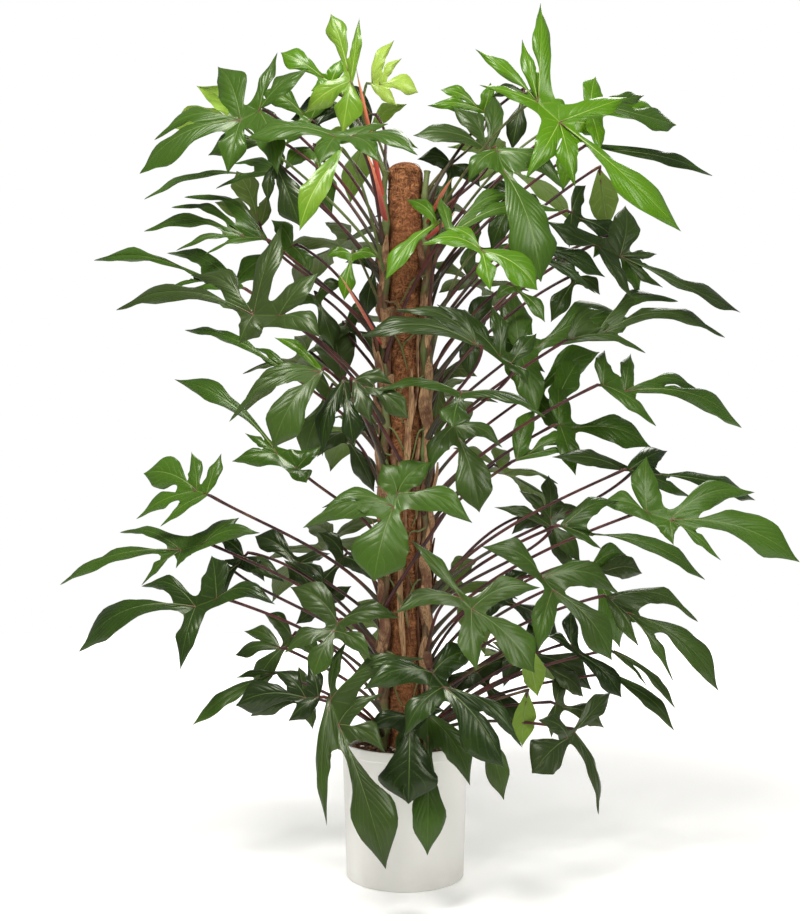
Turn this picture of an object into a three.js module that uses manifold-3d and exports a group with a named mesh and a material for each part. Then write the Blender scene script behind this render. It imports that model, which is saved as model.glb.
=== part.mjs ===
// Climbing philodendron with deeply lobed leaves, tied up a coir pole in a plain round pot.
// Millimetres, +Z up, the pot's base on z = 0 and its axis on x = y = 0. The front faces -Y.
import * as THREE from 'three';
import * as BufferGeometryUtils from 'three/addons/utils/BufferGeometryUtils.js';
import Module from 'manifold-3d';

const wasm = await Module();
wasm.setup();

// pot
const POT_HEIGHT = 245;
const POT_BASE_RADIUS = 104;
const POT_RADIUS_UNDER_RIM = 111;
const RIM_RADIUS = 115;
const RIM_HEIGHT = 18;
const POT_WALL = 4;
const POT_FLOOR = 6;
const POT_SIDES = 20;

// soil
const SOIL_TOP = 226;
const GAP = 0.3;
const SOIL_HEAP = 7;

// pole
const CORE_RADIUS = 11;
const CORE_TOP = 1235;
const COIR_RADIUS = 31;
const COIR_BOTTOM = 60;
const COIR_TOP = 1255;
const COIR_SIDES = 12;

// climbing stems
const STEM_RADIUS = 8.5;
const STEM_ORBIT = 41;
const STEM_FOOT = 150;
const STEM_NODES = 22;
const FIRST_NODE = 270;
const INTERNODE = 44;
const STEM_SIDES = 5;
const STEMS = { left: -2.62, right: -0.5, back: 1.57 };

// leaves
const BLADE_THICKNESS = 1.3;
const PETIOLE_SEGMENTS = 2;
const NECK_HALF = 3;
const BACK_LEAVES = 15;
const SIDE_TURN = 0.55;
const SAG = 0.22;

// The eye that the leaf table is drawn for. A leaf's x and z are where it is seen from there on the
// upright plane y = 0, and its own y sets how far behind (+) or in front of (-) that plane it hangs.
const EYE = new THREE.Vector3(-9, -2900, 950);
const AIM = new THREE.Vector3(-9, 0, 744);

// Each leaf: base x, y, z, slope of its plane in y across and up, tip x, z, half width of the end lobe,
// share of that width left at its waist, then the side lobes as tip x, z and half width. A last number
// scales how far the lobes bow upwards.
const LEAVES = [
  // crown, left
  [-95, -40, 1402, 0, 0.15, -130, 1520, 20, 0.5, [[-80, 1513, 9], [-176, 1346, 20], [-110, 1311, 28]]],
  [-58, 30, 1398, 0.2, 0.2, 23, 1382, 21, 0.9, [[-19, 1474, 11], [-6, 1442, 9], [-14, 1358, 14]]],
  [-130, 45, 1400, 0, 0.3, -218, 1452, 20, 0.6, [[-165, 1385, 16], [-112, 1440, 14]], 0.3],
  [-95, -165, 1305, 0, 1.1, -277, 1303, 28, 0.6, [[22, 1272, 26], [-150, 1255, 22], [-45, 1258, 20], [-30, 1328, 16]]],
  [-115, -205, 1278, 0, 0.3, -185, 1140, 20, 0.6, []],
  [-227, -95, 1255, 0, 0.3, -184, 1148, 32, 0.8, [[-240, 1190, 16]]],
  [-60, 95, 1345, 0, 0.5, -200, 1335, 36, 0.7, [[-130, 1385, 20], [-100, 1298, 20]]],
  [-256, -60, 1350, 0, 0.5, -465, 1240, 38, 0.6, [[-440, 1300, 22], [-330, 1430, 30], [-225, 1454, 11],
    [-170, 1425, 24], [-222, 1236, 24], [-310, 1238, 26]]],
  [-290, 70, 1325, 0, -0.4, -409, 1320, 24, 0.7, [[-365, 1394, 22]]],
  [-225, 35, 1243, 0, 1.5, -457, 1195, 24, 0.6, [[-331, 1213, 14], [-300, 1262, 14]]],
  [-253, 90, 1150, 0, -0.3, -295, 1245, 28, 0.7, [[-335, 1190, 22], [-240, 1205, 16]]],
  // left side, upper half
  [-248, -5, 1127, 0, 1, -457, 1139, 13, 0.6, [[-410, 1183, 12], [-388, 1202, 9], [-400, 1104, 12], [-350, 1097, 11]]],
  [-290, 25, 1042, 0, 0.5, -545, 1088, 12, 0.6, [[-416, 1100, 14], [-413, 1040, 12], [-375, 1037, 10]], 0.5],
  [-221, -150, 991, 0, 0.5, -506, 1001, 17, 0.7, [[-375, 1062, 24], [-215, 1153, 26], [-151, 1068, 22],
    [-150, 955, 20], [-290, 942, 26]]],
  [-203, 25, 889, 0, 0.5, -386, 966, 11, 0.6, [[-264, 935, 8]], 0.6],
  [-146, -30, 895, 0, 0.5, -229, 953, 9, 0.7, []],
  [-110, 70, 880, 0, 0.2, -130, 985, 36, 0.7, []],
  [-189, -120, 724, 0, 0.5, -404, 880, 21, 0.35, [[-303, 736, 18], [-280, 785, 13], [-145, 764, 13], [-173, 699, 16]], 1],
  [-148, -205, 893, 0, 0.4, -231, 759, 33, 0.7, [[-307, 805, 12], [-277, 850, 14]]],
  [-107, -165, 877, 0, 0.4, -91, 765, 26, 0.7, [[-145, 745, 18], [-60, 830, 12]]],
  [-88, -230, 878, 0, 0.4, 6, 811, 22, 0.7, [[-20, 870, 13], [-58, 800, 15]]],
  // left side, lower half
  [-14, -235, 679, 0, 0.4, -55, 526, 46, 0.8, [[-179, 619, 24], [-146, 654, 18], [-41, 732, 24], [45, 735, 24], [118, 629, 24]]],
  [-348, -20, 679, 0, 0.6, -458, 715, 36, 0.8, [[-374, 753, 13], [-322, 750, 13], [-470, 635, 20], [-428, 622, 12]]],
  [-353, 15, 592, 0, 0.8, -604, 520, 14, 0.9, [[-500, 612, 10], [-461, 519, 20], [-401, 549, 13], [-291, 638, 22], [-255, 612, 14]], 0.5],
  [-330, -65, 496, 0, 0.6, -571, 403, 30, 0.5, [[-395, 373, 18], [-461, 517, 14], [-338, 571, 28], [-229, 487, 16]], 1.3],
  [-184, 40, 558, 0, 0.6, -263, 605, 22, 0.7, [[-140, 524, 11], [-131, 575, 11]]],
  [-315, 95, 561, 0, 0.8, -210, 524, 17, 0.7, []],
  [-221, -10, 410, 0, 0.8, -298, 397, 18, 0.7, [[-281, 438, 14]]],
  [-234, 35, 364, 0, 1, -372, 275, 18, 0.7, [[-295, 356, 9]], -0.2],
  [-118, -200, 453, 0, 0.5, -160, 360, 22, 0.7, [[-200, 515, 26], [-10, 465, 17], [-210, 400, 17], [-60, 390, 15]]],
  [-152, -125, 324, 0, 0.5, -297, 309, 38, 0.8, [[-230, 369, 18], [-170, 385, 13], [-205, 282, 20]]],
  [-131, -215, 319, 0, 0.3, -34, 22, 40, 0.35, [[-137, 98, 12], [-34, 226, 22], [36, 392, 15], [-38, 330, 13], [-103, 424, 9]]],
  // right side, lower half
  [9, -205, 289, 0, 0.3, 6, 136, 46, 0.7, [[-68, 262, 14], [70, 300, 14]]],
  [40, -160, 292, 0, 0.3, 39, 46, 28, 0.5, [[114, 168, 24], [-20, 215, 12]]],
  [49, -240, 366, 0, 0.5, 173, 201, 42, 0.6, [[-74, 339, 22], [-1, 256, 20], [128, 402, 22], [205, 234, 15]]],
  [97, -250, 497, 0, 0.5, 227, 366, 34, 0.6, [[126, 370, 26], [235, 513, 18], [-18, 472, 14], [10, 600, 12]]],
  [240, -205, 533, 0, 0.5, 362, 388, 28, 0.6, [[236, 405, 22], [373, 503, 22], [136, 588, 20]]],
  [357, -60, 497, 0, 0.6, 549, 334, 28, 0.6, [[512, 455, 14], [470, 352, 16], [409, 413, 20]]],
  [291, 20, 413, 0, 0.7, 379, 323, 20, 0.7, [[291, 476, 14], [250, 430, 11]]],
  [367, 20, 402, 0, 0.7, 473, 304, 16, 0.7, [[423, 343, 9]]],
  [367, 65, 361, 0, 0.7, 471, 265, 15, 0.7, []],
  [252, 45, 375, 0, 0.6, 312, 324, 22, 0.8, []],
  [215, -50, 412, 0, -0.3, 232, 325, 21, 0.8, []],
  [213, -35, 330, 0, -0.3, 205, 238, 23, 0.8, []],
  [296, -50, 262, 0, 0.3, 222, 190, 32, 0.8, [[362, 333, 18], [232, 284, 16], [338, 118, 14]]],
  [112, -150, 300, 0, 0.4, 173, 143, 19, 0.6, [[111, 205, 13]]],
  // right side, middle
  [347, -45, 870, 0, 0.7, 589, 795, 20, 0.6, [[521, 855, 14], [438, 797, 21], [396, 926, 15], [350, 932, 17]], 0.8],
  [262, 60, 838, 0, 0.2, 305, 915, 28, 0.8, []],
  [290, -75, 950, 0, 0.7, 560, 953, 18, 0.7, [[479, 1017, 15], [420, 925, 12], [350, 1000, 12]], 1.5],
  [185, -145, 907, 0, 0.5, 54, 984, 28, 0.7, [[150, 1010, 15], [230, 960, 15], [215, 870, 12]]],
  [125, -205, 940, 0, 0.5, -78, 955, 19, 0.7, [[-20, 1000, 13], [55, 1010, 12]]],
  [196, -15, 740, 0, 0.5, 298, 775, 18, 0.6, [[228, 829, 20], [315, 748, 8]]],
  [395, 40, 722, 0, 0.6, 257, 744, 17, 0.7, [], 0.3],
  [393, -10, 722, 0, 0.8, 613, 668, 26, 0.6, [[460, 755, 18], [500, 672, 14]], 0],
  [423, -70, 647, 0, 0.5, 691, 560, 36, 0.6, [[612, 682, 22], [553, 563, 26], [422, 745, 24], [343, 663, 20], [470, 590, 16]], 0.9],
  [277, -150, 623, 0, 0.7, 525, 529, 24, 0.6, [[344, 583, 13], [373, 665, 14]], 0.5],
  [255, 40, 622, 0, 0.4, 251, 712, 18, 0.7, [[200, 685, 13], [312, 653, 13], [156, 656, 11], [307, 560, 18]]],
  [340, 45, 545, 0, 0.3, 415, 540, 21, 0.8, []],
  [98, -235, 856, 0, 1.3, 83, 796, 24, 0.6, [[-50, 858, 17], [246, 814, 18]]],
  [87, -170, 800, 0, 0.4, 130, 647, 31, 0.7, [[42, 717, 16], [170, 760, 13]]],
  // right side, upper half
  [338, -20, 1114, 0, 0.6, 587, 997, 28, 0.6, [[399, 1015, 15], [450, 1040, 14], [442, 1100, 12], [388, 1187, 28], [247, 1158, 20]], -0.9],
  [205, -80, 1105, 0, 0.8, 350, 1059, 18, 0.6, [[333, 1030, 11]]],
  [135, -235, 1104, 0, 0.5, 232, 1036, 28, 0.8, [[29, 1117, 15], [70, 1145, 11], [150, 1035, 15]]],
  [161, -130, 1280, 0, 0.35, 238, 1050, 40, 0.7, [[279, 1212, 17], [110, 1225, 15]]],
  [340, 70, 1245, 0, -0.3, 355, 1145, 32, 0.8, []],
  [81, -180, 1133, 0, 0.7, 272, 1175, 17, 0.6, [[214, 1206, 14], [60, 1200, 11]]],
  [56, -150, 1154, 0, 0.4, -35, 1054, 15, 0.6, [[2, 1195, 12]]],
  // crown, right
  [233, -100, 1364, 0, 0.45, 483, 1139, 30, 0.45, [[210, 1229, 18], [298, 1216, 28], [390, 1375, 20],
    [238, 1541, 18], [205, 1476, 12], [123, 1458, 13], [130, 1395, 10]], -0.8],
  [340, 40, 1362, 0, 0.6, 475, 1325, 30, 0.8, [[420, 1378, 14]], -0.8],
  [325, 70, 1290, 0, 0.8, 538, 1236, 14, 0.6, [], -0.2],
  [146, 15, 1280, 0, 0.6, 14, 1307, 22, 0.7, [[81, 1360, 22], [157, 1383, 18]]],
  [138, 95, 1349, 0, 0.2, 62, 1387, 15, 0.6, [[39, 1359, 15], [150, 1400, 12]]],
];

// Leaves deep in the crown, mostly behind others: base x, y, z, slope across and up, tip x, z.
const INNER_LEAVES = [
  // right
  [114, 75, 966, 0.2, 0.3, 245, 892],
  [191, -75, 1043, 0, 0.5, 245, 980],
  [201, 60, 928, -0.2, 0.5, 404, 984],
  [219, 95, 854, 0, 0.2, 341, 928],
  [271, 35, 800, 0.1, 0.6, 432, 760],
  [65, 85, 892, 0.2, -0.2, 54, 774],
  [300, 60, 1060, 0, 0.2, 255, 980],
  [292, 60, 1330, 0.1, 0.2, 275, 1208],
  [324, 85, 1348, 0, 0.6, 460, 1326],
  [208, 75, 1382, -0.2, 0.1, 187, 1281],
  [82, 60, 1255, 0.2, 0, 54, 1138],
  [114, 100, 1113, 0.1, 0.4, 212, 1074],
  [292, 70, 1172, 0, 0.3, 380, 1102],
  [362, 30, 1124, 0.1, 0.2, 411, 1026],
  [327, 45, 553, 0, 0.1, 376, 410],
  [236, 95, 640, 0.1, 0.1, 292, 542],
  [166, 85, 500, 0, 0.3, 271, 424],
  [208, 70, 410, 0.1, 0.3, 327, 336],
  [128, 65, 368, -0.1, 0.2, 201, 245],
  [264, 45, 312, 0, 0.3, 348, 270],
  [190, 85, 1200, 0, 0.2, 150, 1105],
  // left
  [-93, -45, 1099, 0.1, 0.2, -107, 1018],
  [-51, 65, 1085, 0, 0, -68, 987],
  [-156, 85, 1026, 0.2, 0.2, -124, 931],
  [-103, 75, 976, 0, 0.2, -23, 910],
  [-131, 95, 864, 0.1, 0.1, -177, 735],
  [-165, 85, 1335, 0, 0.3, -255, 1385],
  [-107, 95, 788, 0, 0.1, -54, 682],
  [-229, 95, 1298, -0.1, 0.2, -345, 1272],
  [-159, 95, 1284, 0, 0.1, -128, 1169],
  [-198, 85, 1113, 0, 0.4, -303, 1043],
  [-282, 60, 570, 0, 0.2, -345, 483],
  [-198, 85, 430, 0.1, 0.2, -264, 329],
  [-142, 95, 483, 0, 0.2, -212, 564],
  [-107, 85, 570, 0, 0.2, -173, 472],
  [-177, 60, 322, 0, 0.4, -271, 290],
];

// Pink sheaths of young leaves: foot height on their stem, then middle and tip as x, y, z, and half width
const SHEATHS = [
  ['left', 1150, [-52, -62, 1210], [-66, -70, 1270], 9],
  ['left', 1185, [-62, -30, 1300], [-84, -34, 1412], 7],
  ['left', 935, [-78, -95, 1010], [-112, -110, 1060], 7],
  ['right', 1150, [56, -60, 1190], [80, -74, 1222], 9],
  ['right', 1120, [70, -52, 1150], [84, -60, 1165], 8],
];

// number between 0 and 1 that depends only on i and k: the fraction left of a large sine
function hash(i, k) {
  const v = Math.sin(i * 12.9898 + k * 78.233) * 43758.5453;
  return v - Math.floor(v);
}

function clamp(v, low, high) {
  return Math.min(high, Math.max(low, v));
}

function vec(x, y, z) {
  return new THREE.Vector3(x, y, z);
}

// Point at depth y on the sight line through (x, z) of the picture's plane, which goes through the spot aimed
// at and leans so that it is square to the view.
function sighted(x, y, z) {
  const lean = Math.atan2(EYE.z - AIM.z, AIM.y - EYE.y);
  const rise = z - AIM.z;
  const away = vec(x, rise * Math.sin(lean), AIM.z + rise * Math.cos(lean)).sub(EYE);
  return away.multiplyScalar((y - EYE.y) / away.y).add(EYE);
}

function toSolid(geometry) {
  const bare = geometry.clone();
  bare.deleteAttribute('normal');
  bare.deleteAttribute('uv');
  const merged = BufferGeometryUtils.mergeVertices(bare, 1e-4);
  return new wasm.Manifold(new wasm.Mesh({
    numProp: 3,
    vertProperties: new Float32Array(merged.attributes.position.array),
    triVerts: new Uint32Array(merged.index.array),
  }));
}

function toMesh(name, solid, material) {
  const cut = solid.getMesh();
  const geometry = new THREE.BufferGeometry();
  geometry.setAttribute('position', new THREE.BufferAttribute(new Float32Array(cut.vertProperties), 3));
  geometry.setIndex(new THREE.BufferAttribute(new Uint32Array(cut.triVerts), 1));
  geometry.computeVertexNormals();
  const mesh = new THREE.Mesh(geometry, material);
  mesh.name = name;
  return mesh;
}

function fromTriangles(points, triangles) {
  const geometry = new THREE.BufferGeometry();
  geometry.setAttribute('position', new THREE.Float32BufferAttribute(points.flatMap((p) => [p.x, p.y, p.z]), 3));
  geometry.setIndex(triangles.flat());
  return geometry;
}

// lathe about the Z axis; profile is [radius, height] from the axis at the bottom outwards and back to it
function turned(profile, sides) {
  const geometry = new THREE.LatheGeometry(profile.map(([r, z]) => new THREE.Vector2(r, z)), sides);
  geometry.rotateX(Math.PI / 2);
  return geometry;
}

// closed tube through the points, with a radius at each; flat < 1 thins it across the hint direction
function tube(points, radii, sides, flat = 1, hint = vec(0, 0, 1)) {
  const ring = [];
  const last = points.length - 1;
  points.forEach((point, k) => {
    const along = points[Math.min(k + 1, last)].clone().sub(points[Math.max(k - 1, 0)]).normalize();
    const side = hint.clone().cross(along).normalize();
    const up = along.clone().cross(side);
    for (let s = 0; s < sides; s += 1) {
      const a = (2 * Math.PI * (s + 0.5)) / sides;
      ring.push(point.clone()
        .addScaledVector(side, radii[k] * Math.cos(a))
        .addScaledVector(up, radii[k] * flat * Math.sin(a)));
    }
  });
  const triangles = [];
  for (let k = 0; k < last; k += 1) {
    for (let s = 0; s < sides; s += 1) {
      const a = k * sides + s;
      const b = k * sides + ((s + 1) % sides);
      triangles.push([a, b, b + sides], [a, b + sides, a + sides]);
    }
  }
  for (let s = 1; s < sides - 1; s += 1) {
    triangles.push([0, s + 1, s]);
    triangles.push([last * sides, last * sides + s, last * sides + s + 1]);
  }
  return fromTriangles(ring, triangles);
}

// A stem climbs from its foot in the soil, straight up, then zigzags from node to node round the pole.
function stemPath(angle) {
  const points = [vec(Math.cos(angle) * (STEM_ORBIT + 5), Math.sin(angle) * (STEM_ORBIT + 5), STEM_FOOT)];
  points.push(points[0].clone().setZ(SOIL_TOP + SOIL_HEAP + 6));
  for (let k = 0; k <= STEM_NODES; k += 1) {
    const turn = angle + (k % 2 === 0 ? 0.11 : -0.11);
    const z = FIRST_NODE + k * INTERNODE;
    points.push(vec(Math.cos(turn) * STEM_ORBIT, Math.sin(turn) * STEM_ORBIT, z));
  }
  return points;
}

function pointAtHeight(path, z) {
  const k = 1 + path.slice(1, -1).filter((p) => p.z <= z).length;
  const share = clamp((z - path[k - 1].z) / (path[k].z - path[k - 1].z), 0, 1);
  return path[k - 1].clone().lerp(path[k], share);
}

// the leaf's own axes: e1 from base to tip, n out of its upper face, e2 across
function leafFrame(base, tip, normal) {
  const length = base.distanceTo(tip);
  const e1 = tip.clone().sub(base).normalize();
  const n = normal.clone().addScaledVector(e1, -normal.dot(e1)).normalize();
  return { base, length, e1, e2: n.clone().cross(e1), n };
}

// A row of the table as a frame and its lobes in that frame. The further a leaf is from the pole, the more
// its plane turns outwards, so that it faces its own side.
function tableLeaf(row, i) {
  const [x, y, z, across, up, tipX, tipZ, half, waist, sides, sag = 1] = row;
  const slope = across + SIDE_TURN * (0.5 + hash(i, 9)) * clamp(x / 300, -1, 1);
  const at = (px, pz) => sighted(px, y + slope * (px - x) + up * (pz - z), pz);
  const normal = vec(slope, -1, up).multiplyScalar(up < 0 ? -1 : 1);
  const frame = leafFrame(at(x, z), at(tipX, tipZ), normal);
  const lobes = sides.map(([px, pz, w]) => {
    const d = at(px, pz).sub(frame.base);
    return { p: d.dot(frame.e1), q: d.dot(frame.e2), half: w };
  });
  return { frame, lobes, half, waist, sag };
}

// pairs of side lobes by rule; each pair is its least turn from the tip, how much it varies, its length as a
// share of the leaf's and its half width as a share of the leaf's
function ruleLobes(size, i, pairs) {
  return pairs.flatMap(([turn, vary, share, width], k) => [-1, 1].map((sign) => {
    const angle = (turn + vary * hash(i, 14 + 3 * k + sign)) * sign;
    return { p: Math.cos(angle) * size * share, q: Math.sin(angle) * size * share, half: size * width };
  }));
}

// The leaves behind the pole follow a rule: even steps up, golden-ratio steps round, hanging outwards.
function backLeaf(i) {
  const angle = (0.22 + 0.56 * ((i * 0.618034) % 1)) * Math.PI;
  const out = vec(Math.cos(angle), Math.sin(angle), 0);
  const reach = 175 + 85 * hash(i, 11);
  const size = 200 + 60 * hash(i, 12) - (i > 18 ? 40 : 0);
  const base = out.clone().multiplyScalar(reach).setZ(330 + (1050 * (i + 0.5)) / BACK_LEAVES);
  const drop = 0.35 + 0.5 * hash(i, 13);
  const tip = base.clone().addScaledVector(out, size * Math.cos(drop)).add(vec(0, 0, -size * Math.sin(drop)));
  const frame = leafFrame(base, tip, vec(0, 0, 1).addScaledVector(out, 0.2));
  const lobes = ruleLobes(size, i, [[0.95, 0.25, 0.56, 0.085], [2.1, 0.3, 0.4, 0.085]]);
  return { frame, lobes, half: size * 0.15, waist: 0, behind: true };
}

// a leaf inside the crown: its plane and tip from its row, its lobes from the rule
function innerLeaf(row, j) {
  const { frame } = tableLeaf([...row, 0, 0, []], j);
  const lobes = ruleLobes(frame.length, 40 + j, [[1.2, 0.5, 0.55, 0.12]]);
  return { frame, lobes, half: frame.length * 0.18, waist: 0 };
}

// Where each lobe starts, bends and ends, and the sinus between each two of them, all in the leaf's frame.
// Lobes are in turning order; arch lifts the middle of each, cup drops (or lifts) its edges, and sweep bows
// the lobe within the leaf's plane, upwards where the lobe runs level, as if its tip hung down.
function leafPlan(leaf, i) {
  const { frame, sag = 1 } = leaf;
  const L = frame.length;
  const arch = 0.06 + 0.06 * hash(i, 1);
  const cup = -0.25 + 0.25 * hash(i, 2);
  const lobes = leaf.lobes.map((l) => ({ ...l, turn: Math.atan2(l.q, l.p), end: false }));
  lobes.push({ p: L, q: 0, half: leaf.half, turn: 0, end: true });
  lobes.sort((a, b) => a.turn - b.turn);
  const many = lobes.length;
  const endIsEdge = many > 1 && (lobes[0].end || lobes[many - 1].end);
  lobes.forEach((l, k) => {
    const inner = many === 1 || (!endIsEdge && k > 0 && k < many - 1 && Math.abs(l.turn) < 1.4);
    l.root = inner ? 0.15 * L : 0;
    l.reach = Math.hypot(l.p - l.root, l.q);
    l.dp = (l.p - l.root) / l.reach;
    l.dq = l.q / l.reach;
    l.sweep = (l.end ? 0 : 0.07 * Math.sign(l.turn)) + SAG * sag * (l.dp * frame.e2.z - l.dq * frame.e1.z);
  });
  // sinus between lobe k and the next; the last one is the notch at the petiole
  const sinuses = lobes.map((l, k) => {
    if (k === many - 1) {
      return { p: -0.02 * L, q: 0, lift: 0 };
    }
    const next = lobes[k + 1];
    const phi = clamp((next.turn - l.turn) / 2, 0.1, 1.25);
    const short = Math.min(l.reach, next.reach);
    const out = clamp((0.21 * (l.half + next.half)) / Math.sin(phi), 0.07 * L, 0.42 * short);
    const mid = (l.turn + next.turn) / 2;
    const share = clamp(out / short, 0, 0.5);
    return {
      p: (l.root + next.root) / 2 + out * Math.cos(mid),
      q: out * Math.sin(mid),
      lift: arch * short * 4 * share * (1 - share) + cup * out * Math.sin(phi) * 0.6,
    };
  });
  return { frame, lobes, sinuses, arch, cup, many };
}

// point in the leaf's frame raised off its plane
function placed(plan, p, q, lift) {
  const { base, e1, e2, n } = plan.frame;
  return base.clone().addScaledVector(e1, p).addScaledVector(e2, q).addScaledVector(n, lift);
}

// point of a lobe at share t of its length and off to one side of its rib
function onLobe(plan, l, t, off) {
  const along = l.reach * t;
  const bow = l.sweep * l.reach * 4 * t * (1 - t) * 0.5;
  const p = l.root + l.dp * along - l.dq * (bow + off);
  const q = l.dq * along + l.dp * (bow + off);
  return placed(plan, p, q, plan.arch * l.reach * 4 * t * (1 - t) + plan.cup * Math.abs(off));
}

// half widths of a lobe as [share of length, share of half width]; an end lobe may have a waist, and a leaf of
// one lobe is oval
function lobeEdge(l, waist, many) {
  if (many === 1) {
    return [[0.28, 0.88], [0.62, 0.92]];
  }
  return l.end && waist ? [[0.36, waist], [0.72, 1]] : [[0.56, 1]];
}

// a half width that stays on its own side of the line between two lobes
function roomFor(l, other, share, width) {
  const phi = clamp(Math.abs(other.turn - l.turn) / 2, 0.08, 1.4);
  return Math.min(width, 0.92 * share * l.reach * Math.tan(phi) + 1.5);
}

// the blade: one closed plate whose upper and under faces hold the same triangles
function blade(leaf, plan) {
  const points = [];
  const faces = [];
  const rim = [];
  const add = (point) => points.push(point) - 1;
  const roots = new Map();
  const rootOf = (l) => {
    if (!roots.has(l.root)) {
      roots.set(l.root, add(placed(plan, l.root, 0, 0)));
    }
    return roots.get(l.root);
  };
  const sinusIds = plan.sinuses.slice(0, -1).map((s) => add(placed(plan, s.p, s.q, s.lift)));
  const { p: notch } = plan.sinuses[plan.many - 1];
  const port = [add(placed(plan, notch, NECK_HALF, 0)), add(placed(plan, notch, -NECK_HALF, 0))];
  plan.lobes.forEach((l, k) => {
    const before = (k + plan.many - 1) % plan.many;
    const edge = lobeEdge(l, leaf.waist, plan.many);
    const simple = edge.length === 1;
    const feet = simple ? [] : edge.map(([t]) => add(onLobe(plan, l, t, 0)));
    const tip = add(onLobe(plan, l, 1, 0));
    const chain = [-1, 1].map((sign) => {
      const other = plan.lobes[(k + plan.many + sign) % plan.many];
      return edge.map(([t, w]) => {
        const off = plan.many === 1 ? w * l.half : roomFor(l, other, t, w * l.half);
        return add(onLobe(plan, l, t, sign * off));
      });
    });
    const rear = [k === 0 ? port[1] : sinusIds[before], ...chain[0], tip];
    const front = [k === plan.many - 1 ? port[0] : sinusIds[k], ...chain[1], tip];
    const rib = [rootOf(l), ...feet, tip];
    if (simple) {
      faces.push([rib[0], rear[0], rear[1]], [rib[0], front[1], front[0]]);
      faces.push([rib[0], rear[1], front[1]], [rear[1], tip, front[1]]);
    }
    for (let j = 0; !simple && j < rib.length - 1; j += 1) {
      faces.push([rib[j], rear[j], rear[j + 1]], [rib[j], front[j + 1], front[j]]);
      if (j < rib.length - 2) {
        faces.push([rib[j], rear[j + 1], rib[j + 1]], [rib[j], rib[j + 1], front[j + 1]]);
      }
    }
    rim.push(...rear.slice(0, -1), ...front.slice(1).reverse());
    const next = plan.lobes[k + 1];
    if (next && next.root !== l.root) {
      faces.push([rootOf(l), sinusIds[k], rootOf(next)]);
    }
  });
  rim.push(port[0]);
  faces.push([rootOf(plan.lobes[0]), ...port]);
  return { points, faces, rim, port };
}

// The leaf stalk rises off its stem, arches out and comes up to the blade from below and behind.
function petioleCurve(path, plan) {
  const { base, e1, n } = plan.frame;
  const spread = Math.hypot(base.x, base.y);
  const drop = spread * (0.22 + base.z / 2600) + 35;
  const foot = pointAtHeight(path, clamp(base.z - drop, 252, path[path.length - 1].z - 8));
  const neck = base.clone().addScaledVector(e1, -9).addScaledVector(n, -4);
  const way = neck.clone().sub(foot);
  const far = way.length();
  way.divideScalar(far);
  const out = vec(way.x, way.y, 0).normalize();
  const arrive = e1.clone().multiplyScalar(0.45).addScaledVector(n, 0.5).addScaledVector(way, 0.9).normalize();
  return new THREE.CubicBezierCurve3(
    foot,
    foot.clone().addScaledVector(out, far * 0.2).add(vec(0, 0, far * (0.16 + 0.22 * clamp(way.z, 0, 1)))),
    neck.clone().addScaledVector(arrive, -far * 0.3),
    neck,
  );
}

// rings of four points down the stalk, turned so that the last one lines up with the blade's own slot
function petioleRings(path, plan) {
  const points = petioleCurve(path, plan).getPoints(PETIOLE_SEGMENTS);
  const rings = [];
  let side = plan.frame.e2.clone();
  for (let k = PETIOLE_SEGMENTS; k >= 0; k -= 1) {
    const ahead = k === PETIOLE_SEGMENTS ? plan.frame.base : points[k + 1];
    const along = ahead.clone().sub(points[Math.max(k - 1, 0)]).normalize();
    side = side.clone().addScaledVector(along, -side.dot(along)).normalize();
    const up = along.clone().cross(side);
    const reach = (5.6 - 2.8 * (k / PETIOLE_SEGMENTS) ** 0.6) * Math.SQRT1_2;
    rings.unshift([[1, 1], [-1, 1], [-1, -1], [1, -1]].map(([a, b]) => points[k].clone()
      .addScaledVector(side, a * reach)
      .addScaledVector(up, b * reach)));
  }
  return rings;
}

// One closed body for the blade and its stalk: the stalk's last ring is the slot left in the blade's rim.
function leafSolid(leaf, plan, path) {
  const { points, faces, rim, port } = blade(leaf, plan);
  const count = points.length;
  const half = plan.frame.n.clone().multiplyScalar(BLADE_THICKNESS / 2);
  const all = [...points.map((p) => p.clone().add(half)), ...points.map((p) => p.clone().sub(half))];
  const triangles = [...faces];
  faces.forEach(([a, b, c]) => triangles.push([a + count, c + count, b + count]));
  for (let k = 0; k < rim.length - 1; k += 1) {
    const a = rim[k];
    const b = rim[k + 1];
    triangles.push([a, a + count, b + count], [a, b + count, b]);
  }
  const ringIds = petioleRings(path, plan).map((ring) => ring.map((p) => all.push(p) - 1));
  ringIds.push([port[0], port[1], port[1] + count, port[0] + count]);
  for (let k = 0; k < ringIds.length - 1; k += 1) {
    for (let s = 0; s < 4; s += 1) {
      const t = (s + 1) % 4;
      triangles.push([ringIds[k][s], ringIds[k][t], ringIds[k + 1][t]]);
      triangles.push([ringIds[k][s], ringIds[k + 1][t], ringIds[k + 1][s]]);
    }
  }
  const [a, b, c, d] = ringIds[0];
  triangles.push([a, c, b], [a, d, c]);
  return toSolid(fromTriangles(all, triangles));
}

function sheath(path, foot, middle, tip, half) {
  const start = pointAtHeight(path, foot);
  const curve = new THREE.QuadraticBezierCurve3(start, vec(...middle), vec(...tip));
  const points = curve.getPoints(4);
  const radii = [half * 0.8, half, half, half * 0.75, 1];
  return toSolid(tube(points, radii, 4, 0.4, vec(start.x, start.y, 0).normalize()));
}

const leaves = LEAVES.map(tableLeaf);
for (let i = 0; i < BACK_LEAVES; i += 1) {
  leaves.push(backLeaf(i));
}
leaves.push(...INNER_LEAVES.map(innerLeaf));

function stemOf(leaf) {
  if (leaf.behind) {
    return 'back';
  }
  return leaf.frame.base.x < 0 ? 'left' : 'right';
}

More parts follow.
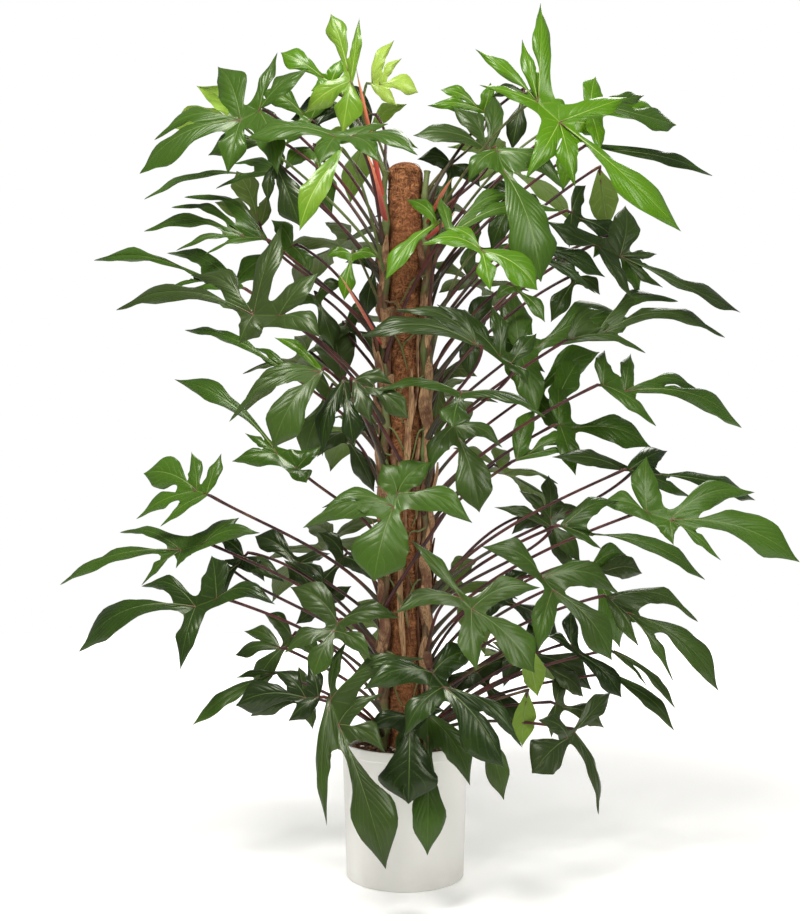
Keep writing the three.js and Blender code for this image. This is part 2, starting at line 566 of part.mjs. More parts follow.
const plans = leaves.map((leaf, i) => leafPlan(leaf, i));
const vines = {};
for (const [side, angle] of Object.entries(STEMS)) {
  const path = stemPath(angle);
  const radii = path.map((p, k) => STEM_RADIUS * (k > path.length - 4 ? 0.75 : 1));
  const pieces = [toSolid(tube(path, radii, STEM_SIDES, 1, vec(Math.cos(angle), Math.sin(angle), 0)))];
  leaves.forEach((leaf, i) => {
    if (stemOf(leaf) === side) {
      pieces.push(leafSolid(leaf, plans[i], path));
    }
  });
  SHEATHS.filter((s) => s[0] === side).forEach(([, foot, middle, tip, half]) => {
    pieces.push(sheath(path, foot, middle, tip, half));
  });
  vines[side] = wasm.Manifold.union(pieces);
}

// pot: hollow, wall and floor of even thickness, with a plain band at the rim
const bandBottom = POT_HEIGHT - RIM_HEIGHT;
const potProfile = [
  [0, 0], [POT_BASE_RADIUS - 3, 0], [POT_BASE_RADIUS, 3], [POT_RADIUS_UNDER_RIM, bandBottom - 3],
  [RIM_RADIUS, bandBottom], [RIM_RADIUS, POT_HEIGHT - 2], [RIM_RADIUS - 2, POT_HEIGHT],
  [RIM_RADIUS - POT_WALL, POT_HEIGHT],
  [POT_RADIUS_UNDER_RIM - POT_WALL, bandBottom - 6], [POT_BASE_RADIUS - POT_WALL, POT_FLOOR], [0, POT_FLOOR],
];
const pot = toSolid(turned(potProfile, POT_SIDES));

// soil: fills the pot a hair clear of its wall, heaped slightly towards the pole, with a plain blind hole
// for the pole and one for the foot of each stem
const soilRadius = (z) => THREE.MathUtils.mapLinear(z, POT_FLOOR, bandBottom - 6,
  POT_BASE_RADIUS - POT_WALL, POT_RADIUS_UNDER_RIM - POT_WALL) - GAP;
const soilProfile = [
  [0, POT_FLOOR + GAP], [soilRadius(POT_FLOOR), POT_FLOOR + GAP], [soilRadius(SOIL_TOP - 12), SOIL_TOP - 12],
  [soilRadius(SOIL_TOP - 12), SOIL_TOP - 6], [92, SOIL_TOP], [60, SOIL_TOP + SOIL_HEAP - 1], [0, SOIL_TOP + SOIL_HEAP],
];
const rod = (radius, bottom, top, sides) => toSolid(turned([[0, bottom], [radius, bottom], [radius, top], [0, top]], sides));
const holes = [
  rod(COIR_RADIUS + GAP, COIR_BOTTOM - GAP, 300, COIR_SIDES),
  rod(CORE_RADIUS + GAP, POT_FLOOR - 1, 100, COIR_SIDES),
];
for (const angle of Object.values(STEMS)) {
  const [foot] = stemPath(angle);
  holes.push(rod(STEM_RADIUS + 1, STEM_FOOT - GAP, 300, 12).translate([foot.x, foot.y, 0]));
}
const soil = wasm.Manifold.difference([toSolid(turned(soilProfile, POT_SIDES)), ...holes]);

// pole: a plain tube stood on the pot's floor, inside a thick sleeve of coir with uneven windings
const core = rod(CORE_RADIUS, POT_FLOOR + GAP, CORE_TOP, COIR_SIDES);
const coirProfile = [[0, COIR_BOTTOM]];
const windings = 13;
for (let k = 0; k <= windings; k += 1) {
  const z = COIR_BOTTOM + ((COIR_TOP - 16 - COIR_BOTTOM) * k) / windings;
  coirProfile.push([COIR_RADIUS - (z < SOIL_TOP ? 0 : 1.6 * hash(k, 5)), z]);
}
coirProfile.push([COIR_RADIUS * 0.78, COIR_TOP - 4], [0, COIR_TOP]);
const coir = wasm.Manifold.difference([
  toSolid(turned(coirProfile, COIR_SIDES)),
  rod(CORE_RADIUS + GAP, COIR_BOTTOM - 5, CORE_TOP + GAP, COIR_SIDES),
]);

const looks = {
  pot: { color: 0xf1f1ee, roughness: 0.45 },
  soil: { color: 0x2c211a, roughness: 0.95 },
  core: { color: 0x4a4744, roughness: 0.6 },
  coir: { color: 0x8a5a3c, roughness: 0.95 },
  leaf: { color: 0x35552f, roughness: 0.4 },
};
const material = (look) => new THREE.MeshStandardMaterial({ ...looks[look], metalness: 0 });

const plant = new THREE.Group();
plant.add(toMesh('pot', pot, material('pot')));
plant.add(toMesh('soil', soil, material('soil')));
plant.add(toMesh('pole_core', core, material('core')));
plant.add(toMesh('pole_coir', coir, material('coir')));
plant.add(toMesh('vine_left', vines.left, material('leaf')));
plant.add(toMesh('vine_right', vines.right, material('leaf')));
plant.add(toMesh('vine_back', vines.back, material('leaf')));

export default plant;
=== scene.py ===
"""Looks for a climbing philodendron with deeply lobed leaves, tied up a coir pole in a plain round pot."""
import math

import bpy
import bmesh
import numpy as np
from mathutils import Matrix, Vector


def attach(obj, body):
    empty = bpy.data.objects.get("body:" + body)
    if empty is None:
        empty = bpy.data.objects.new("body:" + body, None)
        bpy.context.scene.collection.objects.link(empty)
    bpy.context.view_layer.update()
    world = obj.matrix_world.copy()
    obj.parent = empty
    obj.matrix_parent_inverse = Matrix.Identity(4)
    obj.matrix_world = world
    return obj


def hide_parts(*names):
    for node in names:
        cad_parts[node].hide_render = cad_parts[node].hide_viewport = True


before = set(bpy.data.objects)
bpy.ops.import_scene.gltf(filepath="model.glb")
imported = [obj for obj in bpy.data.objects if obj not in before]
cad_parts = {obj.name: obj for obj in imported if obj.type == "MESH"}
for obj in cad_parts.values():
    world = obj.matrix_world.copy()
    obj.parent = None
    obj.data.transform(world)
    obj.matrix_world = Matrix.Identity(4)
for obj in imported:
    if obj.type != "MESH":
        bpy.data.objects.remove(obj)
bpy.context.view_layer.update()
scene = bpy.context.scene
scene.view_settings.view_transform = "Standard"

# Lengths are in millimetres up to the last step, which puts a mesh down in metres.
MM = 0.001

# Points of a mesh that are closer than this, in metres, become one.
MERGE = 1e-6

# Two faces that meet at a steeper turn than this, in radians, are shaded with a crisp edge.
SHARP_FROM = 1.2

# pot and soil
POT_HEIGHT = 245
POT_BASE_RADIUS = 104
POT_RADIUS_UNDER_RIM = 111
RIM_RADIUS = 115
RIM_HEIGHT = 18
POT_WALL = 4
POT_FLOOR = 6
SOIL_RADIUS = POT_RADIUS_UNDER_RIM - POT_WALL - 0.6
SOIL_TOP = 226
SOIL_HEAP = 7
CRUMBS = 520

# pole
COIR_RADIUS = 31
COIR_BOTTOM = 60
COIR_TOP = 1255
COIR_DOME = 20
FIBRES = 1500

# climbing stems
STEM_RADIUS = 8.5
STEM_ORBIT = 41
STEM_FOOT = 150
STEM_NODES = 22
FIRST_NODE = 270
INTERNODE = 44
ZIGZAG = 0.11
LOWEST_FOOT = 250
ROOTLESS = 0.45
STEMS = {"left": -2.62, "right": -0.5, "back": 1.57}

# leaves
BLADE_THICKNESS = 0.7
NECK_HALF = 3
BACK_LEAVES = 15
SIDE_TURN = 0.55
SAG = 0.22
PATCH_ROWS = 18
PATCH_COLUMNS = 6
VEIN_STEP = 19
GOLDEN = 0.618034

# leaf stalks
STALK_RADIUS = 2.5
BARE_STALK_RADIUS = 3.2
STALK_STEPS = 30

# pink sheaths, dry sheaths, and the husks on the front of the pole
PINK_THICKNESS = 0.8
PAPER_HALF = 0.35
HUSKS = 13
HUSK_BOTTOM = 330
HUSK_SPAN = 520

# The eye that the leaf table is drawn for, the point it looks at, and the camera's lens and long side.
# A leaf's x and z are where it is seen from there on the plane through AIM that stands square to the view,
# and its own y sets how far behind (+) or in front of (-) the pole it hangs.
EYE = np.array([-9.0, -2900.0, 950.0])
AIM = np.array([-9.0, 0.0, 744.0])
LENS = 65.4
SENSOR = 36

# lamps: name, place in metres, side of the square and power; then their colour and what they point at
LAMPS = [
    ("key_light", (-1.2, -2.0, 4.3), 1.3, 200),
    ("fill_light", (2.1, -2.7, 3.0), 1.6, 76),
    ("back_light", (0.6, 2.6, 2.8), 1.6, 60),
]
LAMP_COLOUR = (1.0, 0.985, 0.95)
PLANT_MIDDLE = (0, 0, 0.85)
FLOOR_HALF = 2400
FLOOR_DROP = 0.5

# Strength of the white surroundings as light on the plant.
SURROUNDINGS = 0.22

# Each leaf: base x, y, z, slope of its plane in y across and up, tip x, z, half width of the end lobe,
# share of that width left at its waist, then the side lobes as tip x, z and half width. A last number
# scales how far the lobes bow upwards.
LEAVES = [
    # crown, left
    [-95, -40, 1402, 0, 0.15, -130, 1520, 20, 0.5, [[-80, 1513, 9], [-176, 1346, 20], [-110, 1311, 28]]],
    [-58, 30, 1398, 0.2, 0.2, 23, 1382, 21, 0.9, [[-19, 1474, 11], [-6, 1442, 9], [-14, 1358, 14]]],
    [-130, 45, 1400, 0, 0.3, -218, 1452, 20, 0.6, [[-165, 1385, 16], [-112, 1440, 14]], 0.3],
    [-95, -165, 1305, 0, 1.1, -277, 1303, 28, 0.6, [[22, 1272, 26], [-150, 1255, 22], [-45, 1258, 20],
     [-30, 1328, 16]]],
    [-115, -205, 1278, 0, 0.3, -185, 1140, 20, 0.6, []],
    [-227, -95, 1255, 0, 0.3, -184, 1148, 32, 0.8, [[-240, 1190, 16]]],
    [-60, 95, 1345, 0, 0.5, -200, 1335, 36, 0.7, [[-130, 1385, 20], [-100, 1298, 20]]],
    [-256, -60, 1350, 0, 0.5, -465, 1240, 38, 0.6, [[-440, 1300, 22], [-330, 1430, 30],
     [-225, 1454, 11], [-170, 1425, 24], [-222, 1236, 24], [-310, 1238, 26]]],
    [-290, 70, 1325, 0, -0.4, -409, 1320, 24, 0.7, [[-365, 1394, 22]]],
    [-225, 35, 1243, 0, 1.5, -457, 1195, 24, 0.6, [[-331, 1213, 14], [-300, 1262, 14]]],
    [-253, 90, 1150, 0, -0.3, -295, 1245, 28, 0.7, [[-335, 1190, 22], [-240, 1205, 16]]],
    # left side, upper half
    [-248, -5, 1127, 0, 1, -457, 1139, 13, 0.6, [[-410, 1183, 12], [-388, 1202, 9], [-400, 1104, 12],
     [-350, 1097, 11]]],
    [-290, 25, 1042, 0, 0.5, -545, 1088, 12, 0.6, [[-416, 1100, 14], [-413, 1040, 12],
     [-375, 1037, 10]], 0.5],
    [-221, -150, 991, 0, 0.5, -506, 1001, 17, 0.7, [[-375, 1062, 24], [-215, 1153, 26],
     [-151, 1068, 22], [-150, 955, 20], [-290, 942, 26]]],
    [-203, 25, 889, 0, 0.5, -386, 966, 11, 0.6, [[-264, 935, 8]], 0.6],
    [-146, -30, 895, 0, 0.5, -229, 953, 9, 0.7, []],
    [-110, 70, 880, 0, 0.2, -130, 985, 36, 0.7, []],
    [-189, -120, 724, 0, 0.5, -404, 880, 21, 0.35, [[-303, 736, 18], [-280, 785, 13], [-145, 764, 13],
     [-173, 699, 16]], 1],
    [-148, -205, 893, 0, 0.4, -231, 759, 33, 0.7, [[-307, 805, 12], [-277, 850, 14]]],
    [-107, -165, 877, 0, 0.4, -91, 765, 26, 0.7, [[-145, 745, 18], [-60, 830, 12]]],
    [-88, -230, 878, 0, 0.4, 6, 811, 22, 0.7, [[-20, 870, 13], [-58, 800, 15]]],
    # left side, lower half
    [-14, -235, 679, 0, 0.4, -55, 526, 46, 0.8, [[-179, 619, 24], [-146, 654, 18], [-41, 732, 24],
     [45, 735, 24], [118, 629, 24]]],
    [-348, -20, 679, 0, 0.6, -458, 715, 36, 0.8, [[-374, 753, 13], [-322, 750, 13], [-470, 635, 20],
     [-428, 622, 12]]],
    [-353, 15, 592, 0, 0.8, -604, 520, 14, 0.9, [[-500, 612, 10], [-461, 519, 20], [-401, 549, 13],
     [-291, 638, 22], [-255, 612, 14]], 0.5],
    [-330, -65, 496, 0, 0.6, -571, 403, 30, 0.5, [[-395, 373, 18], [-461, 517, 14], [-338, 571, 28],
     [-229, 487, 16]], 1.3],
    [-184, 40, 558, 0, 0.6, -263, 605, 22, 0.7, [[-140, 524, 11], [-131, 575, 11]]],
    [-315, 95, 561, 0, 0.8, -210, 524, 17, 0.7, []],
    [-221, -10, 410, 0, 0.8, -298, 397, 18, 0.7, [[-281, 438, 14]]],
    [-234, 35, 364, 0, 1, -372, 275, 18, 0.7, [[-295, 356, 9]], -0.2],
    [-118, -200, 453, 0, 0.5, -160, 360, 22, 0.7, [[-200, 515, 26], [-10, 465, 17], [-210, 400, 17],
     [-60, 390, 15]]],
    [-152, -125, 324, 0, 0.5, -297, 309, 38, 0.8, [[-230, 369, 18], [-170, 385, 13], [-205, 282, 20]]],
    [-131, -215, 319, 0, 0.3, -34, 22, 40, 0.35, [[-137, 98, 12], [-34, 226, 22], [36, 392, 15],
     [-38, 330, 13], [-103, 424, 9]]],
    # right side, lower half
    [9, -205, 289, 0, 0.3, 6, 136, 46, 0.7, [[-68, 262, 14], [70, 300, 14]]],
    [40, -160, 292, 0, 0.3, 39, 46, 28, 0.5, [[114, 168, 24], [-20, 215, 12]]],
    [49, -240, 366, 0, 0.5, 173, 201, 42, 0.6, [[-74, 339, 22], [-1, 256, 20], [128, 402, 22],
     [205, 234, 15]]],
    [97, -250, 497, 0, 0.5, 227, 366, 34, 0.6, [[126, 370, 26], [235, 513, 18], [-18, 472, 14],
     [10, 600, 12]]],
    [240, -205, 533, 0, 0.5, 362, 388, 28, 0.6, [[236, 405, 22], [373, 503, 22], [136, 588, 20]]],
    [357, -60, 497, 0, 0.6, 549, 334, 28, 0.6, [[512, 455, 14], [470, 352, 16], [409, 413, 20]]],
    [291, 20, 413, 0, 0.7, 379, 323, 20, 0.7, [[291, 476, 14], [250, 430, 11]]],
    [367, 20, 402, 0, 0.7, 473, 304, 16, 0.7, [[423, 343, 9]]],
    [367, 65, 361, 0, 0.7, 471, 265, 15, 0.7, []],
    [252, 45, 375, 0, 0.6, 312, 324, 22, 0.8, []],
    [215, -50, 412, 0, -0.3, 232, 325, 21, 0.8, []],
    [213, -35, 330, 0, -0.3, 205, 238, 23, 0.8, []],
    [296, -50, 262, 0, 0.3, 222, 190, 32, 0.8, [[362, 333, 18], [232, 284, 16], [338, 118, 14]]],
    [112, -150, 300, 0, 0.4, 173, 143, 19, 0.6, [[111, 205, 13]]],
    # right side, middle
    [347, -45, 870, 0, 0.7, 589, 795, 20, 0.6, [[521, 855, 14], [438, 797, 21], [396, 926, 15],
     [350, 932, 17]], 0.8],
    [262, 60, 838, 0, 0.2, 305, 915, 28, 0.8, []],
    [290, -75, 950, 0, 0.7, 560, 953, 18, 0.7, [[479, 1017, 15], [420, 925, 12], [350, 1000, 12]], 1.5],
    [185, -145, 907, 0, 0.5, 54, 984, 28, 0.7, [[150, 1010, 15], [230, 960, 15], [215, 870, 12]]],
    [125, -205, 940, 0, 0.5, -78, 955, 19, 0.7, [[-20, 1000, 13], [55, 1010, 12]]],
    [196, -15, 740, 0, 0.5, 298, 775, 18, 0.6, [[228, 829, 20], [315, 748, 8]]],
    [395, 40, 722, 0, 0.6, 257, 744, 17, 0.7, [], 0.3],
    [393, -10, 722, 0, 0.8, 613, 668, 26, 0.6, [[460, 755, 18], [500, 672, 14]], 0],
    [423, -70, 647, 0, 0.5, 691, 560, 36, 0.6, [[612, 682, 22], [553, 563, 26], [422, 745, 24],
     [343, 663, 20], [470, 590, 16]], 0.9],
    [277, -150, 623, 0, 0.7, 525, 529, 24, 0.6, [[344, 583, 13], [373, 665, 14]], 0.5],
    [255, 40, 622, 0, 0.4, 251, 712, 18, 0.7, [[200, 685, 13], [312, 653, 13], [156, 656, 11],
     [307, 560, 18]]],
    [340, 45, 545, 0, 0.3, 415, 540, 21, 0.8, []],
    [98, -235, 856, 0, 1.3, 83, 796, 24, 0.6, [[-50, 858, 17], [246, 814, 18]]],
    [87, -170, 800, 0, 0.4, 130, 647, 31, 0.7, [[42, 717, 16], [170, 760, 13]]],
    # right side, upper half
    [338, -20, 1114, 0, 0.6, 587, 997, 28, 0.6, [[399, 1015, 15], [450, 1040, 14], [442, 1100, 12],
     [388, 1187, 28], [247, 1158, 20]], -0.9],
    [205, -80, 1105, 0, 0.8, 350, 1059, 18, 0.6, [[333, 1030, 11]]],
    [135, -235, 1104, 0, 0.5, 232, 1036, 28, 0.8, [[29, 1117, 15], [70, 1145, 11], [150, 1035, 15]]],
    [161, -130, 1280, 0, 0.35, 238, 1050, 40, 0.7, [[279, 1212, 17], [110, 1225, 15]]],
    [340, 70, 1245, 0, -0.3, 355, 1145, 32, 0.8, []],
    [81, -180, 1133, 0, 0.7, 272, 1175, 17, 0.6, [[214, 1206, 14], [60, 1200, 11]]],
    [56, -150, 1154, 0, 0.4, -35, 1054, 15, 0.6, [[2, 1195, 12]]],
    # crown, right
    [233, -100, 1364, 0, 0.45, 483, 1139, 30, 0.45, [[210, 1229, 18], [298, 1216, 28], [390, 1375, 20],
     [238, 1541, 18], [205, 1476, 12], [123, 1458, 13], [130, 1395, 10]], -0.8],
    [340, 40, 1362, 0, 0.6, 475, 1325, 30, 0.8, [[420, 1378, 14]], -0.8],
    [325, 70, 1290, 0, 0.8, 538, 1236, 14, 0.6, [], -0.2],
    [146, 15, 1280, 0, 0.6, 14, 1307, 22, 0.7, [[81, 1360, 22], [157, 1383, 18]]],
    [138, 95, 1349, 0, 0.2, 62, 1387, 15, 0.6, [[39, 1359, 15], [150, 1400, 12]]],
]

# Leaves deep in the crown, mostly behind others: base x, y, z, slope across and up, tip x, z.
INNER_LEAVES = [
    # right
    [114, 75, 966, 0.2, 0.3, 245, 892],
    [191, -75, 1043, 0, 0.5, 245, 980],
    [201, 60, 928, -0.2, 0.5, 404, 984],
    [219, 95, 854, 0, 0.2, 341, 928],
    [271, 35, 800, 0.1, 0.6, 432, 760],
    [65, 85, 892, 0.2, -0.2, 54, 774],
    [300, 60, 1060, 0, 0.2, 255, 980],
    [292, 60, 1330, 0.1, 0.2, 275, 1208],
    [324, 85, 1348, 0, 0.6, 460, 1326],
    [208, 75, 1382, -0.2, 0.1, 187, 1281],
    [82, 60, 1255, 0.2, 0, 54, 1138],
    [114, 100, 1113, 0.1, 0.4, 212, 1074],
    [292, 70, 1172, 0, 0.3, 380, 1102],
    [362, 30, 1124, 0.1, 0.2, 411, 1026],
    [327, 45, 553, 0, 0.1, 376, 410],
    [236, 95, 640, 0.1, 0.1, 292, 542],
    [166, 85, 500, 0, 0.3, 271, 424],
    [208, 70, 410, 0.1, 0.3, 327, 336],
    [128, 65, 368, -0.1, 0.2, 201, 245],
    [264, 45, 312, 0, 0.3, 348, 270],
    [190, 85, 1200, 0, 0.2, 150, 1105],
    # left
    [-93, -45, 1099, 0.1, 0.2, -107, 1018],
    [-51, 65, 1085, 0, 0, -68, 987],
    [-156, 85, 1026, 0.2, 0.2, -124, 931],
    [-103, 75, 976, 0, 0.2, -23, 910],
    [-131, 95, 864, 0.1, 0.1, -177, 735],
    [-165, 85, 1335, 0, 0.3, -255, 1385],
    [-107, 95, 788, 0, 0.1, -54, 682],
    [-229, 95, 1298, -0.1, 0.2, -345, 1272],
    [-159, 95, 1284, 0, 0.1, -128, 1169],
    [-198, 85, 1113, 0, 0.4, -303, 1043],
    [-282, 60, 570, 0, 0.2, -345, 483],
    [-198, 85, 430, 0.1, 0.2, -264, 329],
    [-142, 95, 483, 0, 0.2, -212, 564],
    [-107, 85, 570, 0, 0.2, -173, 472],
    [-177, 60, 322, 0, 0.4, -271, 290],
]

# how light and fresh each leaf of the table is: 0 old and dark, 0.5 grass green, 1 pale new growth
FRESH = [
    0.82, 0.95, 0.6, 0.3, 0.75, 0.15, 0.12, 0.32, 0.95, 0.28, 0.25,
    0.3, 0.33, 0.12, 0.33, 0.7, 0.05, 0.35, 0.16, 0.15, 0.12,
    0.25, 0.38, 0.28, 0.22, 0.12, 0.1, 0.15, 0.25, 0.17, 0.08, 0.16,
    0.12, 0.22, 0.2, 0.2, 0.2, 0.17, 0.08, 0.15, 0.14, 0.06, 0.5, 0.45, 0.02, 0.12,
    0.3, 0.38, 0.18, 0.22, 0.15, 0.38, 0.14, 0.25, 0.3, 0.25, 0.12, 0.04, 0.24, 0.15,
    0.15, 0.2, 0.62, 0.33, 0.33, 0.4, 0.6,
    0.64, 0.3, 0.25, 0.2, 0.6,
]

# the same for the inner leaves
INNER_FRESH = [
    0.2, 0.42, 0.25, 0.3, 0.35, 0.1, 0.15, 0.7, 0.6, 0.12, 0.2, 0.2, 0.2, 0.3, 0.35, 0.08, 0.12, 0.05,
    0.1, 0.02, 0.2,
    0.62, 0.05, 0.2, 0.2, 0.15, 0.4, 0.02, 0.2, 0.35, 0.3, 0.12, 0.2, 0.12, 0.1, 0.12,
]

# Bare old stalks that cross in front of the pole: stem, foot height, then three more Bezier points
CROSSING = [
    ("left", 905, (-20, -66, 985), (30, -92, 1085), (98, -112, 1165)),
    ("right", 640, (8, -70, 720), (-36, -95, 800), (-84, -140, 872)),
    ("left", 480, (-8, -66, 540), (40, -90, 610), (84, -150, 690)),
]

# Pink sheaths of young leaves: foot height on their stem, then middle and tip as x, y, z, and half width
SHEATHS = [
    ("left", 1150, (-52, -62, 1210), (-66, -70, 1270), 9),
    ("left", 1185, (-62, -30, 1300), (-84, -34, 1412), 7),
    ("left", 935, (-78, -95, 1010), (-112, -110, 1060), 7),
    ("right", 1150, (56, -60, 1190), (80, -74, 1222), 9),
    ("right", 1120, (70, -52, 1150), (84, -60, 1165), 8),
]


def hash01(i, k):
    """Number between 0 and 1 that depends only on i and k: the fraction left of a large sine."""
    value = np.sin(np.asarray(i) * 12.9898 + np.asarray(k) * 78.233) * 43758.5453
    return value - np.floor(value)


def clamp(value, low, high):
    """The value, or the nearer of the two limits where it lies past one."""
    return min(max(value, low), high)


def unit(v):
    """v divided by its own length, along the last axis."""
    v = np.asarray(v, float)
    return v / np.maximum(np.linalg.norm(v, axis=-1, keepdims=True), 1e-9)


def turned(radius, angle, z):
    """Points at a radius and angle about Z and a height: (r cos a, r sin a, z), whole arrays at once."""
    return np.stack(np.broadcast_arrays(radius * np.cos(angle), radius * np.sin(angle), z), -1)


def full_turn(count):
    """Evenly spaced angles once round."""
    return np.linspace(0, 2 * math.pi, count, endpoint=False)


def sighted(x, y, z):
    """Point at depth y on the sight line through (x, z) of the picture's plane.

    That plane goes through AIM and is square to the view: (x, rise sin lean, AIM + rise cos lean).
    """
    lean = math.atan2(EYE[2] - AIM[2], AIM[1] - EYE[1])
    rise = z - AIM[2]
    away = np.array([x, rise * math.sin(lean), AIM[2] + rise * math.cos(lean)]) - EYE
    return EYE + away * (y - EYE[1]) / away[1]


def smooth_path(knots, slopes, at, s):
    """Cubic Hermite curve that meets each knot at its share in `at`, read at every share in s."""
    k = np.clip(np.searchsorted(at, s, side="right") - 1, 0, len(at) - 2)
    span = (at[k + 1] - at[k])[:, None]
    u = (s - at[k])[:, None] / span
    return ((2 * u**3 - 3 * u**2 + 1) * knots[k] + (u**3 - 2 * u**2 + u) * span * slopes[k]
            + (3 * u**2 - 2 * u**3) * knots[k + 1] + (u**3 - u**2) * span * slopes[k + 1])


def chord_slopes(knots, at):
    """Slope at each knot of the chord between its two neighbours, and of the only chord at either end."""
    slopes = np.empty_like(knots)
    slopes[1:-1] = (knots[2:] - knots[:-2]) / (at[2:] - at[:-2])[:, None]
    slopes[0] = (knots[1] - knots[0]) / (at[1] - at[0])
    slopes[-1] = (knots[-1] - knots[-2]) / (at[-1] - at[-2])
    return slopes


def bend(a, b, c, t):
    """Quadratic Bezier curve from a, drawn towards b, to c. t is a column of shares."""
    return (1 - t)**2 * a + 2 * (1 - t) * t * b + t**2 * c


def bezier(points, t):
    """Cubic Bezier curve: its four points weighted by the Bernstein polynomials of t."""
    t = np.asarray(t)[:, None]
    a, b, c, d = points
    return (1 - t)**3 * a + 3 * (1 - t)**2 * t * b + 3 * (1 - t) * t**2 * c + t**3 * d


def linked(name, data):
    """A new object at the origin that shows this mesh, lamp or camera."""
    thing = bpy.data.objects.new(name, data)
    scene.collection.objects.link(thing)
    return thing


class Mesher:
    """Collects grids of points as one mesh, with named numbers on its points."""

    def __init__(self):
        self.points, self.faces, self.marks, self.count = [], [], {}, 0

    def grid(self, points, close=False, flip=False, **marks):
        """Points shaped rows x columns x 3 become quads of neighbours; a mark is a number or an array."""
        rows, columns = points.shape[:2]
        ids = self.count + np.arange(rows * columns).reshape(rows, columns)
        if close:
            ids = np.hstack([ids, ids[:, :1]])
        quads = np.stack([ids[:-1, :-1], ids[:-1, 1:], ids[1:, 1:], ids[1:, :-1]], -1).reshape(-1, 4)
        self.faces.append(quads[:, ::-1] if flip else quads)
        self.points.append(points.reshape(-1, 3))
        for name, value in marks.items():
            value = np.broadcast_to(np.asarray(value, float), (rows, columns))
            self.marks.setdefault(name, []).append(value.reshape(-1))
        self.count += rows * columns

    def mesh(self, name, material):
        """All of it as one mesh in metres, its doubles merged, smooth but for its steep edges."""
        points, faces = np.concatenate(self.points) * MM, np.concatenate(self.faces)
        mesh = bpy.data.meshes.new(name)
        mesh.from_pydata(points.tolist(), [], faces.tolist())
        for mark, values in self.marks.items():
            layer = mesh.attributes.new(mark, "FLOAT", "POINT")
            layer.data.foreach_set("value", np.concatenate(values))
        tool = bmesh.new()
        tool.from_mesh(mesh)
        bmesh.ops.remove_doubles(tool, verts=tool.verts, dist=MERGE)
        bmesh.ops.dissolve_degenerate(tool, edges=tool.edges, dist=MERGE)
        for face in tool.faces:
            face.smooth = True
        for edge in tool.edges:
            edge.smooth = len(edge.link_faces) != 2 or edge.calc_face_angle() < SHARP_FROM
        tool.to_mesh(mesh)
        tool.free()
        mesh.validate()
        mesh.materials.append(material)
        return mesh

    def piece(self, name, material, slot, node):
        """The mesh as one object that rides on the root body and stands for a node."""
        thing = linked(name, self.mesh(name, material))
        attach(thing, "root")
        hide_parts(node)


def capped(rows, first, last):
    """Rows of points with a row of one repeated point before and after them, which closes both ends."""
    ends = [np.broadcast_to(np.asarray(end, float), (1, *rows.shape[1:])) for end in (first, last)]
    return np.concatenate([ends[0], rows, ends[1]])


def band(mesher, outer, inner, **marks):
    """A thin closed strip between two sheets, with both ends drawn in to the middle of their row."""
    sheet = np.concatenate([outer, inner[:, ::-1]], 1)
    mesher.grid(capped(sheet, sheet[0].mean(0), sheet[-1].mean(0)), close=True, **marks)


def carried_axes(path, first):
    """Two directions square to the path at each point, which turn as little as can be on the way."""
    along = unit(np.gradient(path, axis=0))
    side = np.empty_like(path)
    side[0] = unit(first - along[0] * (first @ along[0]))
    for k in range(1, len(path)):
        side[k] = unit(side[k - 1] - along[k] * (side[k - 1] @ along[k]))
    return side, np.cross(along, side)


def tube(mesher, path, radius, sides=10, first=(0.3, 0.2, 1), **marks):
    """Rings round the path: point + radius (cos a side + sin a up), closed at both ends by a last point."""
    side, up = carried_axes(path, np.asarray(first, float))
    a = full_turn(sides)[:, None]
    ring = path[:, None] + radius[:, None, None] * (np.cos(a) * side[:, None] + np.sin(a) * up[:, None])
    for name, value in marks.items():
        if np.ndim(value) == 1:
            marks[name] = np.concatenate([value[:1], value, value[-1:]])[:, None]
    mesher.grid(capped(ring, path[0], path[-1]), close=True, **marks)


def strands(mesher, paths, radius):
    """Many thin three-sided tubes: path + radius (cos a side + sin a up), in axes square to each path."""
    along = unit(np.gradient(paths, axis=1))
    side = unit(np.cross(along, np.array([0.31, 0.22, 0.92])))
    up = np.cross(along, side)
    a = full_turn(3)[:, None]
    wide = np.broadcast_to(radius, paths.shape[:2])[..., None, None]
    rings = paths[:, :, None] + wide * (np.cos(a) * side[:, :, None] + np.sin(a) * up[:, :, None])
    for path, ring in zip(paths, rings):
        mesher.grid(capped(ring, path[0], path[-1]), close=True)


def lathe(mesher, profile, sides, bump=None, **marks):
    """Profile of [radius, height] turned about Z, plus bump(point) along z where one is given."""
    profile = np.asarray(profile, float)
    spot = turned(profile[:, :1], full_turn(sides), profile[:, 1:])
    if bump:
        spot[..., 2] += bump(spot)
    mesher.grid(spot, close=True, **marks)


def rounded(profile, cut):
    """A profile whose inner corners are quadratic Bezier arcs that start and end `cut` from the corner."""
    profile = np.asarray(profile, float)
    t = np.linspace(0, 1, 6)[:, None]
    parts = [profile[:1]]
    for before, corner, after in zip(profile, profile[1:], profile[2:]):
        start, end = (corner + unit(way) * min(cut, np.linalg.norm(way) / 2.1)
                      for way in (before - corner, after - corner))
        parts.append(bend(start, corner, end, t))
    return np.concatenate([*parts, profile[-1:]])


def uneven(spot, size, seed):
    """Soft noise from about -1 to 1: a sum of five sine waves in different directions, near `size` long."""
    k = np.arange(5)
    heading = unit(np.stack([hash01(k, seed + 1), hash01(k, seed + 2), hash01(k, seed + 3)], -1) - 0.5)
    wave = np.tensordot(spot, heading.T, 1) * (2 * math.pi / (size * (0.6 + 0.9 * hash01(k, seed + 4))))
    return np.sin(wave + 6.28 * hash01(k, seed + 5)).sum(-1) / 3


